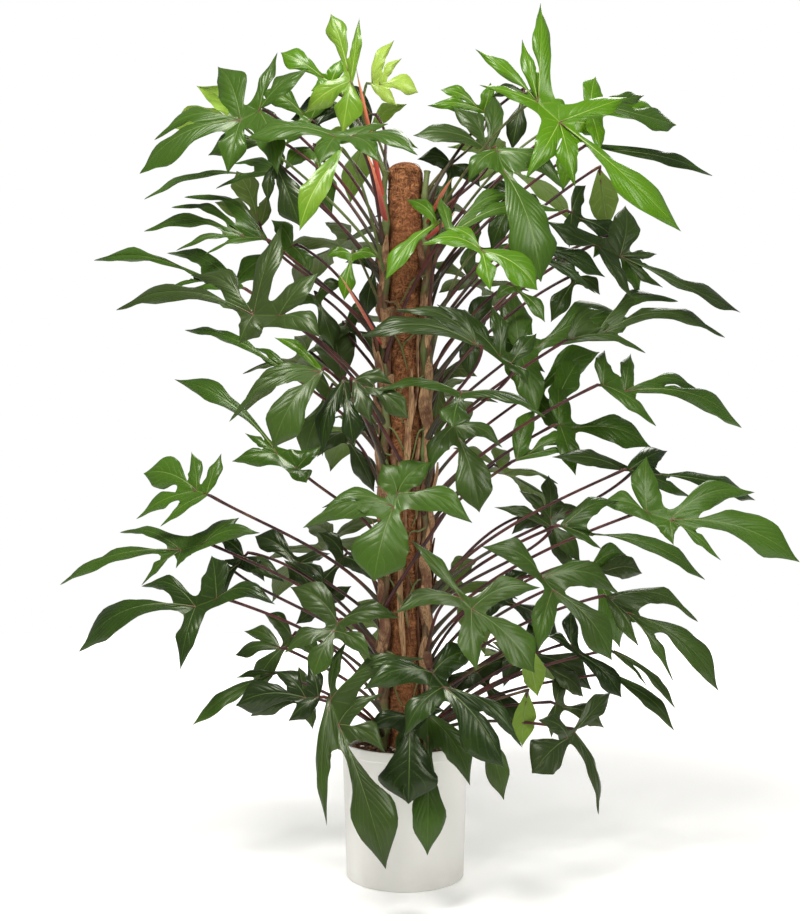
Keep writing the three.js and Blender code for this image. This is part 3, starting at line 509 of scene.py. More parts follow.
def leaf_axes(base, tip, normal):
    """A leaf's own axes: e1 from base to tip, n out of its upper face, e2 across."""
    e1 = unit(tip - base)
    n = unit(normal - e1 * (normal @ e1))
    return {"base": base, "length": np.linalg.norm(tip - base), "e1": e1, "e2": np.cross(n, e1), "n": n}


def table_leaf(row, i):
    """A row of the table as axes and lobes. Far from the pole its plane turns to face its own side."""
    x, y, z, across, up, tip_x, tip_z, half, waist, sides, sag = [*row, 1][:11]
    slope = across + SIDE_TURN * (0.5 + hash01(i, 9)) * clamp(x / 300, -1, 1)

    def at(px, pz):
        """The point of the leaf's plane that is seen at (px, pz)."""
        return sighted(px, y + slope * (px - x) + up * (pz - z), pz)

    normal = np.array([slope, -1, up]) * (-1 if up < 0 else 1)
    axes = leaf_axes(at(x, z), at(tip_x, tip_z), normal)
    lobes = []
    for px, pz, width in sides:
        d = at(px, pz) - axes["base"]
        lobes.append({"p": d @ axes["e1"], "q": d @ axes["e2"], "half": width})
    stem = "left" if axes["base"][0] < 0 else "right"
    return {"axes": axes, "lobes": lobes, "half": half, "waist": waist, "sag": sag, "stem": stem,
            "fresh": FRESH[i]}


def rule_lobes(size, i, pairs):
    """Pairs of side lobes from rows of least turn, its variation, and length and half width over size."""
    lobes = []
    for k, (turn, vary, share, width) in enumerate(pairs):
        for sign in (-1, 1):
            angle = (turn + vary * hash01(i, 14 + 3 * k + sign)) * sign
            lobes.append({"p": math.cos(angle) * size * share, "q": math.sin(angle) * size * share,
                          "half": size * width})
    return lobes


def back_leaf(i):
    """Leaves behind the pole: even steps up, golden-ratio steps round, hanging outwards."""
    out = turned(1.0, (0.22 + 0.56 * ((i * GOLDEN) % 1)) * math.pi, 0.0)
    size = 200 + 60 * hash01(i, 12)
    base = out * (175 + 85 * hash01(i, 11)) + np.array([0, 0, 330 + 1050 * (i + 0.5) / BACK_LEAVES])
    drop = 0.35 + 0.5 * hash01(i, 13)
    tip = base + out * size * math.cos(drop) - np.array([0, 0, size * math.sin(drop)])
    axes = leaf_axes(base, tip, np.array([0, 0, 1]) + out * 0.2)
    fresh = 0.08 + 0.25 * hash01(i, 21) + (0.3 if i > 12 else 0)
    lobes = rule_lobes(size, i, [(0.95, 0.25, 0.56, 0.085), (2.1, 0.3, 0.4, 0.085)])
    return {"axes": axes, "lobes": lobes, "half": size * 0.15, "waist": 0, "sag": 1, "stem": "back",
            "fresh": fresh}


def inner_leaf(row, j):
    """A leaf inside the crown: its plane and tip from its row, its lobes from the rule."""
    leaf = table_leaf([*row, 0, 0, []], j)
    length = leaf["axes"]["length"]
    lobes = rule_lobes(length, 40 + j, [(1.2, 0.5, 0.55, 0.12)])
    return dict(leaf, lobes=lobes, half=length * 0.18, waist=0, fresh=INNER_FRESH[j])


def leaf_plan(leaf, i):
    """Adds where each lobe starts and bends, and the sinus between each two. Lobes are in turning order.

    Sweep bows a lobe within the leaf's plane, upwards where the lobe runs level, as if its tip hung down.
    """
    length = leaf["axes"]["length"]
    arch = 0.06 + 0.06 * hash01(i, 1)
    cup = -0.25 + 0.25 * hash01(i, 2)
    lobes = [dict(l, turn=math.atan2(l["q"], l["p"]), end=False) for l in leaf["lobes"]]
    lobes.append({"p": length, "q": 0.0, "half": leaf["half"], "turn": 0.0, "end": True})
    lobes.sort(key=lambda l: l["turn"])
    many = len(lobes)
    end_is_edge = many > 1 and (lobes[0]["end"] or lobes[-1]["end"])
    for k, l in enumerate(lobes):
        inner = many == 1 or (not end_is_edge and 0 < k < many - 1 and abs(l["turn"]) < 1.4)
        l["root"] = 0.15 * length if inner else 0.0
        l["reach"] = math.hypot(l["p"] - l["root"], l["q"])
        l["dp"] = (l["p"] - l["root"]) / l["reach"]
        l["dq"] = l["q"] / l["reach"]
        sag = SAG * leaf["sag"] * (l["dp"] * leaf["axes"]["e2"][2] - l["dq"] * leaf["axes"]["e1"][2])
        l["sweep"] = (0.0 if l["end"] else 0.07 * np.sign(l["turn"])) + sag
        l["twist"] = 0.8 * (hash01(i, 60 + k) - 0.5)
    sinuses = []
    for l, other in zip(lobes, lobes[1:]):
        phi = clamp((other["turn"] - l["turn"]) / 2, 0.1, 1.25)
        short = min(l["reach"], other["reach"])
        out = clamp(0.21 * (l["half"] + other["half"]) / math.sin(phi), 0.07 * length, 0.42 * short)
        mid = (l["turn"] + other["turn"]) / 2
        share = clamp(out / short, 0, 0.5)
        lift = arch * short * 4 * share * (1 - share) + cup * out * math.sin(phi) * 0.6
        spot = np.array([(l["root"] + other["root"]) / 2 + out * math.cos(mid), out * math.sin(mid), lift])
        sinuses.append({"spot": spot, "mid": mid})
    notch = np.array([[-0.02 * length, side * NECK_HALF, 0] for side in (-1, 1)])
    return dict(leaf, lobes=lobes, sinuses=sinuses, notch=notch, arch=arch, cup=cup, many=many, seed=i)


def on_lobe(plan, l, t, off):
    """Point (p, q, lift) of a lobe at share t of its length and `off` to one side of its rib.

    The lift is an arch, 4 t (1 - t), plus a fold along the rib, plus a twist about it that grows with t.
    """
    along = l["reach"] * t
    bow = l["sweep"] * l["reach"] * 4 * t * (1 - t) * 0.5
    p = l["root"] + l["dp"] * along - l["dq"] * (bow + off)
    q = l["dq"] * along + l["dp"] * (bow + off)
    lift = plan["arch"] * l["reach"] * 4 * t * (1 - t) + plan["cup"] * abs(off) + l["twist"] * t * off
    return np.stack([p, q, lift], -1)


def room_for(l, other, share, width):
    """A half width that stays on its own side of the line between two lobes."""
    phi = clamp(abs(other["turn"] - l["turn"]) / 2, 0.08, 1.4)
    return min(width, 0.92 * share * l["reach"] * math.tan(phi) + 1.5)


def half_lobe(plan, k, sign):
    """Rib curve and margin curve of one half of lobe k, from the sinus (share 0) to the tip (share 1).

    The margin goes through the sinus, square to the line out of it, the widest points and the tip, and
    two sine waves along it make it uneven. The rib is met a little further back than the margin, so rows
    slant forward as side veins do.
    """
    l = plan["lobes"][k]
    edge, at, feet_at = [(0.56, 1.0)], [0, 0.52, 1], [0, 0.4, 0.94]
    oval = plan["many"] == 1
    if oval or (l["end"] and plan["waist"] > 0):
        edge = [(0.28, 0.88), (0.62, 0.92)] if oval else [(0.36, plan["waist"]), (0.72, 1.0)]
        at, feet_at = [0, 0.27, 0.66, 1], [0, 0.22, 0.55, 0.95]
    other = plan["lobes"][(k + sign) % plan["many"]]
    by_stalk = k == (0 if sign < 0 else plan["many"] - 1)
    if by_stalk:
        start = plan["notch"][int(sign > 0)]
        heading = unit(on_lobe(plan, l, 0.3, sign * edge[0][1] * l["half"]) - start)
    else:
        sinus = plan["sinuses"][k if sign > 0 else k - 1]
        start = sinus["spot"]
        heading = -sign * np.array([-math.sin(sinus["mid"]), math.cos(sinus["mid"]), 0])
    knots = [start]
    for t, share in edge:
        wide = share * l["half"]
        off = wide if oval else room_for(l, other, t, wide)
        knots.append(on_lobe(plan, l, t, sign * off))
    knots = np.array([*knots, on_lobe(plan, l, 1.0, 0.0)])
    at = np.array(at)
    slopes = chord_slopes(knots, at)
    slopes[0] = heading * np.linalg.norm(slopes[0]) * (1.0 if by_stalk else 0.75)
    slopes[-1] = 0.55 * slopes[-1] + 0.35 * l["reach"] * np.array([l["dp"], l["dq"], 0])
    s = np.linspace(0, 1, PATCH_ROWS + 1)
    margin = smooth_path(knots, slopes, at, s)
    feet = np.interp(s, at, feet_at)
    rib = on_lobe(plan, l, feet, 0 * feet)
    wide = np.linalg.norm((margin - rib)[:, :2], axis=1)
    start = hash01(plan["seed"], 90 + 2 * k + sign)
    ripple = (0.06 * np.sin(2 * math.pi * (1.7 * s + start))
              + 0.025 * np.sin(2 * math.pi * (4.3 * s + 3 * start)))
    margin[:, :2] += (ripple * np.sin(math.pi * s) * wide)[:, None] * sign * np.array([-l["dq"], l["dp"]])
    return rib, margin, s


def blade_patch(rib, margin, s, phase):
    """Surface from rib to margin: a straight run across, lift growing as its 1.5th power, a wavy edge.

    The wave is a sine along the margin times the square of the way out, and dies away at both ends.
    """
    rho = np.linspace(0, 1, PATCH_COLUMNS + 1)
    way = (margin - rib)[:, None]
    spot = rib[:, None] + way * rho[:, None]
    spot[..., 2] = rib[:, None, 2] + way[..., 2] * rho**1.5
    wide = np.linalg.norm(way[..., :2], axis=-1)
    wave = np.sin(2 * math.pi * (2.3 * s[:, None] + phase)) * 0.085 * wide * rho**2
    quilt = np.sin(math.pi * rho) * 0.05 * wide * (0.6 + 0.8 * phase)
    spot[..., 2] += np.sin(math.pi * s)[:, None] * (wave + quilt)
    return spot


def to_space(plan, spot):
    """Points of the leaf's own frame (p, q, lift) put into space."""
    a = plan["axes"]
    return a["base"] + spot[..., :1] * a["e1"] + spot[..., 1:2] * a["e2"] + spot[..., 2:] * a["n"]


def add_blade(mesher, ribs, plan):
    """Both faces of one leaf's blade as patches, its thin edge, and a raised rib under each lobe."""
    n = plan["axes"]["n"] * BLADE_THICKNESS / 2
    own = {"fresh": plan["fresh"], "leaf": hash01(plan["seed"], 31)}
    rho = np.linspace(0, 1, PATCH_COLUMNS + 1)
    share = np.linspace(0, 1, 4)[:, None]

    def both_faces(spot, vein, flip=False):
        """A patch as the blade's upper face and its lower one."""
        place = to_space(plan, spot)
        reach = np.linalg.norm(place - place[:, :1], axis=-1)
        mesher.grid(place + n, flip=flip, vein=vein, reach=reach, out=rho, under=0.0, **own)
        mesher.grid(place - n, flip=not flip, vein=vein, reach=reach, out=rho, under=1.0, **own)
        return place

    def thin_edge(line, vein, reach, flip):
        """The strip between both faces along a line."""
        mesher.grid(np.stack([line + n, line - n], 1), flip=flip, vein=vein, reach=reach, out=1.0,
                    under=np.array([[0.0, 1.0]]), **own)

    def web(line, point):
        """A fan from a straight line of the midrib out to a point or to a line of as many points."""
        spot = line[:, None] + (point - line)[:, None] * rho[:, None]
        spot[..., 2] = np.broadcast_to(point, line.shape)[:, 2:] * rho**1.5
        both_faces(spot, 0.5 * np.sin(math.pi * share))

    lobes = plan["lobes"]
    for k, l in enumerate(lobes):
        veins = max(3.0, l["reach"] / VEIN_STEP)
        for sign in (-1, 1):
            rib, margin, s = half_lobe(plan, k, sign)
            spot = blade_patch(rib, margin, s, hash01(plan["seed"], 40 + 2 * k + sign))
            s = s[:, None]
            vein = veins * (s - 0.2 * rho**1.4 * np.clip(5 * s, 0, 1))
            place = both_faces(spot, vein, sign > 0)
            far = np.linalg.norm(place[:, -1] - place[:, 0], axis=-1)[:, None]
            thin_edge(place[:, -1], vein[:, -1:], far, sign > 0)
        t = np.linspace(0, 0.93, 14)
        spine = to_space(plan, on_lobe(plan, l, t, 0 * t))
        thick = (1.35 if l["end"] else 0.95) * (1 - 0.8 * t)
        tube(ribs, spine - plan["axes"]["n"] * (0.25 * thick[:, None]), thick, 6, plan["axes"]["n"],
             fresh=plan["fresh"], run=t)
    for l, other, sinus in zip(lobes, lobes[1:], plan["sinuses"]):
        if l["root"] != other["root"]:
            web(np.array([1, 0, 0]) * (l["root"] + (other["root"] - l["root"]) * share), sinus["spot"])
    port = plan["notch"][1] + (plan["notch"][0] - plan["notch"][1]) * share
    web(np.tile([lobes[0]["root"], 0.0, 0.0], (len(share), 1)), port)
    thin_edge(to_space(plan, port), 0.5, 9.0, True)


def stem_path(angle):
    """Points of a stem: straight up from its foot in the soil, then to and fro from node to node."""
    k = np.arange(STEM_NODES + 1)
    foot = turned(STEM_ORBIT + 5, angle, np.array([STEM_FOOT, SOIL_TOP + SOIL_HEAP + 6]))
    nodes = turned(STEM_ORBIT, angle + ZIGZAG * (1 - 2 * (k % 2)), FIRST_NODE + k * INTERNODE)
    return np.concatenate([foot, nodes])


def vine_path(angle):
    """The stem's own zigzag, made smooth: 9 steps between nodes on the cubic through all of them."""
    knots = stem_path(angle)
    at = np.arange(len(knots), dtype=float)
    s = np.linspace(0, at[-1], len(knots) * 9)
    return smooth_path(knots, chord_slopes(knots, at), at, s), s


def at_height(path, z):
    """Points of a rising path at the heights z, by straight runs between its own points."""
    return np.stack([np.interp(z, path[:, 2], path[:, axis]) for axis in range(3)], -1)


def stalk_curve(path, plan):
    """The four Bezier points of a leaf stalk: off its stem, out in an arch, up to the blade from behind."""
    a = plan["axes"]
    base, e1, n = a["base"], a["e1"], a["n"]
    drop = math.hypot(base[0], base[1]) * (0.22 + base[2] / 2600) + 35
    foot = at_height(path, clamp(base[2] - drop, LOWEST_FOOT + 2, path[-1, 2] - 8))
    neck = base - e1 * 9 - n * 4
    far = np.linalg.norm(neck - foot)
    way = (neck - foot) / far
    out = unit(np.array([way[0], way[1], 0]))
    arrive = unit(e1 * 0.45 + n * 0.5 + way * 0.9)
    rise = far * (0.16 + 0.22 * clamp(way[2], 0, 1))
    return foot, foot + out * far * 0.2 + np.array([0, 0, rise]), neck - arrive * far * 0.3, neck


def add_stalk(mesher, path, plan):
    """Leaf stalk: a sheathing foot, a slender length, a thicker joint, and its run-out under the rib."""
    t = np.linspace(0, 1, STALK_STEPS)
    a = plan["axes"]
    run_out = [a["base"] - a["n"] * 1.6, a["base"] + a["e1"] * 8 - a["n"] * 0.6]
    line = np.concatenate([bezier(stalk_curve(path, plan), t), run_out])
    radius = (STALK_RADIUS + 2.4 * np.exp(-(t / 0.08)**2) + 1.1 * np.exp(-t / 0.35)
              + 0.5 * np.exp(-((t - 0.97) / 0.05)**2))
    radius = np.concatenate([radius, [2.4, 1.2]]) * (0.85 if plan["fresh"] > 0.55 else 1.0)
    tube(mesher, line, radius, 10, fresh=plan["fresh"], run=np.concatenate([t, [1, 1]]))


def add_crossing_stalks(mesher, side, path):
    """The bare stalks of one stem: each a Bezier curve, thicker at its foot, that ends behind leaves."""
    t = np.linspace(0, 1, STALK_STEPS)
    for stem, height, *points in CROSSING:
        if stem == side:
            line = bezier((at_height(path, height), *np.array(points, float)), t)
            tube(mesher, line, BARE_STALK_RADIUS + 2.4 * np.exp(-(t / 0.1)**2), 10, fresh=0.05, run=0.4 + t)


def add_husks(mesher):
    """Dry strips of old sheaths on the front of the pole: steep bands with edges and heads curled out."""
    t, w = np.linspace(0, 1, 22)[:, None], np.linspace(-1, 1, 5)
    for k in range(HUSKS):
        z = HUSK_BOTTOM + HUSK_SPAN * (k + hash01(k, 102)) / HUSKS + (90 + 150 * hash01(k, 101)) * t
        turn = (-math.pi / 2 + 1.7 * (hash01(k, 103) - 0.5) + 0.8 * (hash01(k, 104) - 0.5) * t
                + 0.07 * np.sin(7 * t + k))
        half = (2.2 + 3.4 * hash01(k, 105)) * np.sin(math.pi * np.clip(t, 0.03, 0.97))**0.4
        r = COIR_RADIUS + 1.8 + 2.2 * w**2 + 9 * hash01(k, 106) * t**4 + 1.2 * np.sin(9 * t + k)
        angle = turn + w * half / r
        lift = PAPER_HALF * turned(1.0, angle, 0.0)
        strip = turned(r, angle, z)
        band(mesher, strip + lift, strip - lift, dry=hash01(k, 107))


def add_dry_sheath(mesher, path, out, foot, tall, seed):
    """An old sheath: a tapered strip part of the way round its stem, that curls away at its head."""
    t, w = np.linspace(0, 1, 14)[:, None], np.linspace(-1, 1, 5)
    across = np.array([-out[1], out[0], 0])
    half = (4.5 + 3.5 * hash01(seed, 73)) * np.sin(math.pi * np.clip(t, 0.02, 0.98))**0.55
    turn = ((hash01(seed, 72) - 0.5) * 3.6 + w * half / STEM_RADIUS * (1 - 0.3 * t)
            + 0.3 * np.sin(3 * t + seed))[..., None]
    r = (STEM_RADIUS + 0.9 + 2 + 15 * hash01(seed, 74)**2 * t**2)[..., None]
    centre = at_height(path, np.clip(foot + tall * t[:, 0], LOWEST_FOOT, path[-1, 2]))[:, None]
    sheet = centre + r * (np.cos(turn) * out + np.sin(turn) * across)
    lift = PAPER_HALF * unit(sheet - centre)
    band(mesher, sheet + lift, sheet - lift, dry=hash01(seed, 75))


def add_root(mesher, path, angle, top, sign, seed):
    """A climbing root: from its stem round to the pole's skin, and down along it as it thins."""
    t = np.linspace(0, 1, 22)
    turn = angle + sign * (0.16 + (0.5 + 1.1 * hash01(seed, 82)) * t)
    r = (STEM_ORBIT + 2) * (1 - t)**3 + (COIR_RADIUS + 2.6) * (1 - (1 - t)**3)
    line = turned(r, turn, top - (20 + 70 * hash01(seed, 83)) * t**1.6 + 3 * np.sin(9 * t + seed))
    line[0] = at_height(path, top)
    tube(mesher, line, 1.9 - 0.9 * t, 7, young=hash01(seed, 84))


def stem_pieces(bark, paper):
    """Stems with a swollen ring at each node, dry sheaths that peel off between nodes, and roots."""
    stems, sheaths, roots = Mesher(), Mesher(), Mesher()
    for number, angle in enumerate(STEMS.values()):
        path, s = vine_path(angle)
        out = turned(1.0, angle, 0.0)
        off_node = np.abs(s - np.round(s)) * INTERNODE
        thin = np.clip((s[-1] - s) / 4, 0, 1)
        radius = (STEM_RADIUS - 0.8) * (0.62 + 0.38 * thin) + 1.5 * np.exp(-(off_node / 3.0)**2)
        tube(stems, path, radius, 20, out, young=1 - thin)
        for k in range(1, STEM_NODES - 3):
            foot = FIRST_NODE + (k + 0.1) * INTERNODE
            for seed in range(number * 100 + k * 3, number * 100 + k * 3 + 3):
                tall = (40 + 75 * hash01(seed, 71)) * (1 if k < 15 else 0.6)
                add_dry_sheath(sheaths, path, out, foot, tall, seed)
            for n, sign in enumerate((-1, 1)):
                seed = number * 100 + k * 2 + n
                if hash01(seed, 81) >= ROOTLESS:
                    add_root(roots, path, angle, foot - 5, sign, seed)
    add_husks(sheaths)
    stems.piece("vine_stems", bark, "leaf", "vine_left")
    sheaths.piece("dry_sheaths", paper, "leaf", "vine_left")
    roots.piece("climbing_roots", bark, "leaf", "vine_back")


def pink_sheaths(finish):
    """Young leaf sheaths: a trough round a curved line, whose half width goes sin-shaped to a point."""
    mesher = Mesher()
    t, w = np.linspace(0, 1, 26)[:, None], np.linspace(-1.5, 1.5, 11)[:, None]
    for side, foot, middle, tip, half in SHEATHS:
        start = at_height(vine_path(STEMS[side])[0], foot)
        line = bend(start, np.array(middle), np.array(tip), t)
        a, b = (axis[:, None] for axis in carried_axes(line, unit(start * [1, 1, 0])))
        line = line[:, None]
        width = half * np.clip(1.15 * (0.55 + 0.45 * np.sin(math.pi * t**0.8)) * (1 - t**5), 0.02, None)
        sheet = line + width[..., None] * (0.75 * (np.cos(w) - 0.4) * a + np.sin(w) * b)
        inner = sheet - unit(sheet - line + 0.2 * a) * PINK_THICKNESS
        band(mesher, sheet, inner, run=np.concatenate([t[:1], t, t[-1:]]))
    mesher.piece("pink_sheaths", finish, "leaf", "vine_right")


def leaf_pieces(blade_finish, rib_finish, stalk_finish):
    """For each stem: a piece of blades, one of the ribs under them and one of their stalks."""
    leaves = [table_leaf(row, i) for i, row in enumerate(LEAVES)]
    leaves += [back_leaf(i) for i in range(BACK_LEAVES)]
    leaves += [inner_leaf(row, j) for j, row in enumerate(INNER_LEAVES)]
    plans = [leaf_plan(leaf, i) for i, leaf in enumerate(leaves)]
    for side, angle in STEMS.items():
        path = stem_path(angle)
        blades, ribs, stalks = Mesher(), Mesher(), Mesher()
        for plan in plans:
            if plan["stem"] == side:
                add_blade(blades, ribs, plan)
                add_stalk(stalks, path, plan)
        add_crossing_stalks(stalks, side, path)
        blades.piece(f"blades_{side}", blade_finish, "leaf", f"vine_{side}")
        ribs.piece(f"ribs_{side}", rib_finish, "leaf", f"vine_{side}")
        stalks.piece(f"stalks_{side}", stalk_finish, "leaf", f"vine_{side}")


def pot_piece(finish):
    """The pot: a lathe of wall and floor of even thickness, with a plain band at the rim and soft edges."""
    lip = POT_HEIGHT - RIM_HEIGHT
    profile = [
        [0, 3], [POT_BASE_RADIUS - 12, 3], [POT_BASE_RADIUS - 12, 0], [POT_BASE_RADIUS, 0],
        [POT_RADIUS_UNDER_RIM, lip], [RIM_RADIUS, lip], [RIM_RADIUS, POT_HEIGHT],
        [RIM_RADIUS - POT_WALL, POT_HEIGHT], [RIM_RADIUS - POT_WALL, lip + 2],
        [POT_RADIUS_UNDER_RIM - POT_WALL, lip - 4], [POT_BASE_RADIUS - POT_WALL, POT_FLOOR], [0, POT_FLOOR],
    ]
    mesher = Mesher()
    lathe(mesher, rounded(profile, cut=1.6), sides=160)
    mesher.piece("pot_shell", finish, "pot", "pot")


def soil_height(r):
    """Height of the heaped soil at radius r: it falls from the pole with the 1.5th power of r."""
    return SOIL_TOP + SOIL_HEAP * (1 - 2 * (r / SOIL_RADIUS)**1.5)


def soil_lumps(spot):
    """Soft noise of three sizes on the soil's upper side, and none on its floor."""
    rise = 1.6 * uneven(spot, 26, 3) + 1.1 * uneven(spot, 9, 5) + 0.6 * uneven(spot, 4.5, 8)
    return np.where(spot[..., 2] > SOIL_TOP / 2, rise, 0.0)


def soil_piece(finish):
    """The soil: a closed lathe with a heaped and lumpy top, and with crumbs and bark chips on it."""
    r = np.linspace(SOIL_RADIUS, 0, 60)
    floor = [[0, POT_FLOOR + 0.5], [POT_BASE_RADIUS - POT_WALL - 1, POT_FLOOR + 0.5]]
    mesher = Mesher()
    profile = np.concatenate([floor, np.stack([r, soil_height(r)], -1)])
    lathe(mesher, profile, sides=120, bump=soil_lumps, chip=0.0)
    k = np.arange(CRUMBS)
    r = 0.97 * SOIL_RADIUS * np.sqrt(hash01(k, 51))
    middle = turned(r, 2 * math.pi * hash01(k, 52), soil_height(r) + 1)
    size = 1.6 + 3.2 * hash01(k, 53)**2
    u = np.linspace(0, math.pi, 6)[:, None]
    ball = turned(np.sin(u), full_turn(8), -np.cos(u))
    for i in range(CRUMBS):
        c, s = math.cos(7 * i), math.sin(7 * i)
        shape = ball * (1 + 0.25 * uneven(ball * 3 + i, 3, 2)[..., None]) * [1.5, 0.8, 0.6] * size[i]
        shape = shape @ np.array([[c, s, 0], [-s, c, 0], [0, 0, 1]])
        mesher.grid(shape + middle[i], close=True, chip=0.15 + 0.85 * hash01(i, 54))
    mesher.piece("soil_bed", finish, "soil", "soil")


def coir_surface(turn, z, proud=0.0):
    """The pole's skin: radius with soft bands of winding and lumps, drawn in to a dome at its top."""
    spot = turned(COIR_RADIUS, turn, z)
    lumps = 0.9 * uneven(spot, 34, 1) + 0.55 * uneven(spot, 11, 2) + 0.35 * uneven(spot, 5, 3)
    dome = np.clip((z - (COIR_TOP - COIR_DOME)) / COIR_DOME, 0, 1)
    r = (COIR_RADIUS - 1.2 + lumps + proud) * np.sqrt(np.clip(1 - 0.97 * dome**2.2, 0, 1))
    return turned(r, turn, z + proud * dome)


def coir_pieces(finish):
    """Matted sleeve as a lumpy tube, and loose fibres that leave its skin, arch over and run back in."""
    sleeve = Mesher()
    to_top = COIR_TOP - COIR_DOME + COIR_DOME * np.sin(np.linspace(0, math.pi / 2, 12))
    z = np.concatenate([np.linspace(COIR_BOTTOM, COIR_TOP - COIR_DOME - 2, 300), to_top])[:, None]
    skin = coir_surface(full_turn(72), z)
    sleeve.grid(capped(skin, [0, 0, COIR_BOTTOM], [0, 0, skin[-1, 0, 2]]), close=True)
    sleeve.piece("coir_sleeve", finish, "coir", "pole_coir")
    fibres = Mesher()
    k = np.arange(FIBRES)[:, None]
    t = np.linspace(-1, 1, 9)
    heading = math.pi * (hash01(k, 62) - 0.5) * 1.6
    half = 5 + 13 * hash01(k, 63)
    bow = 1.1 * (hash01(k, 64) - 0.5) * (1 - t**2)
    across = half * (t * np.cos(heading) - bow * np.sin(heading))
    upward = half * (t * np.sin(heading) + bow * np.cos(heading))
    turn = 2 * math.pi * hash01(k, 61) + across / COIR_RADIUS
    height = SOIL_TOP + 4 + (COIR_TOP - 10 - SOIL_TOP) * (k + 0.5) / FIBRES + upward
    proud = (0.2 + 2.2 * hash01(k, 65)**2) * (1 - t**2) - 0.3
    paths = coir_surface(turn, np.clip(height, SOIL_TOP, COIR_TOP - 2), proud)
    strands(fibres, paths, 0.22 + 0.2 * hash01(k, 66))
    fibres.piece("coir_fibres", finish, "coir", "pole_coir")


class Field:
    """An output socket of a node tree that can be used in sums and products: each adds its Math node."""

    def __init__(self, finish, socket):
        self.finish = finish
        self.socket = socket

    def math(self, operation, *values):
        """A Math node of that operation on the values."""
        return self.finish.node("ShaderNodeMath", {"operation": operation}, values)

    def __add__(self, other):
        return self.math("ADD", self, other)

    def __mul__(self, other):
        return self.math("MULTIPLY", self, other)

    def __sub__(self, other):
        return self.math("SUBTRACT", self, other)

    def __rsub__(self, other):
        return self.math("SUBTRACT", other, self)

    __radd__ = __add__

    def apart_from_whole(self):
        """0 at whole numbers and 0.5 half way between them."""
        return self.math("PINGPONG", self, 0.5)


class Finish:
    """One material and the patterns it is built of."""

    def __init__(self, name, **constants):
        self.material = bpy.data.materials.new(name)
        self.material.use_nodes = True
        self.tree = self.material.node_tree
        self.shader = self.tree.nodes["Principled BSDF"]
        for socket, value in constants.items():
            self.shader.inputs[socket.replace("_", " ")].default_value = value

    def node(self, kind, settings, values, output=0):
        """A node of that type: its settings first, then a number, colour or Field for each socket."""
        node = self.tree.nodes.new(kind)
        for name, value in settings.items():
            setattr(node, name, value)
        for socket, value in values.items() if isinstance(values, dict) else enumerate(values):
            if isinstance(value, Field):
                self.tree.links.new(value.socket, node.inputs[socket])
            else:
                node.inputs[socket].default_value = value
        return Field(self, node.outputs[output])

    def place(self):
        """Position in the object, in metres."""
        return self.node("ShaderNodeTexCoord", {}, {}, "Object")

    def mark(self, name):
        """A named number of the mesh."""
        return self.node("ShaderNodeAttribute", {"attribute_name": name}, {}, "Fac")

    def scaled(self, vector, x, y, z):
        """The vector times (x, y, z): a small share draws a pattern out along its axis."""
        return self.node("ShaderNodeVectorMath", {"operation": "MULTIPLY"}, {0: vector, 1: (x, y, z)})

    def noise(self, scale, detail=3.0, rough=0.55, at=None):
        """Soft noise from 0 to 1 with `scale` waves to the metre, read at a place or a changed one."""
        settings = {"Vector": at or self.place(), "Scale": scale, "Detail": detail, "Roughness": rough}
        return self.node("ShaderNodeTexNoise", {}, settings, "Fac")

    def step(self, value, low, high):
        """0 below low and 1 above high, smooth between."""
        return self.node("ShaderNodeMapRange", {"interpolation_type": "SMOOTHSTEP"},
                         {0: value, 1: low, 2: high})

    def mix(self, share, a, b):
        """Colour a where the share is 0 and b where it is 1."""
        return self.node("ShaderNodeMix", {"data_type": "RGBA"}, {0: share, 6: a, 7: b}, 2)

    def vary(self, socket, pattern):
        """Feeds a socket of the shader from a pattern."""
        self.tree.links.new(pattern.socket, self.shader.inputs[socket])

    def finish(self, colour, rough=None, height=None, depth=0.001):
        """Links what varies: colour, roughness and a height in shares of `depth` metres for the bump."""
        self.vary("Base Color", colour)
        if rough:
            self.vary("Roughness", rough)
        if height:
            bump = self.node("ShaderNodeBump", {}, {"Strength": 1.0, "Distance": depth, "Height": height})
            self.vary("Normal", bump)
        return self.material


def rgb(red, green, blue):
    """A colour from its 0 to 255 screen values, put on the shader's linear scale."""
    value = np.array([red, green, blue]) / 255
    return (*np.where(value <= 0.04045, value / 12.92, ((value + 0.055) / 1.055)**2.4).tolist(), 1.0)


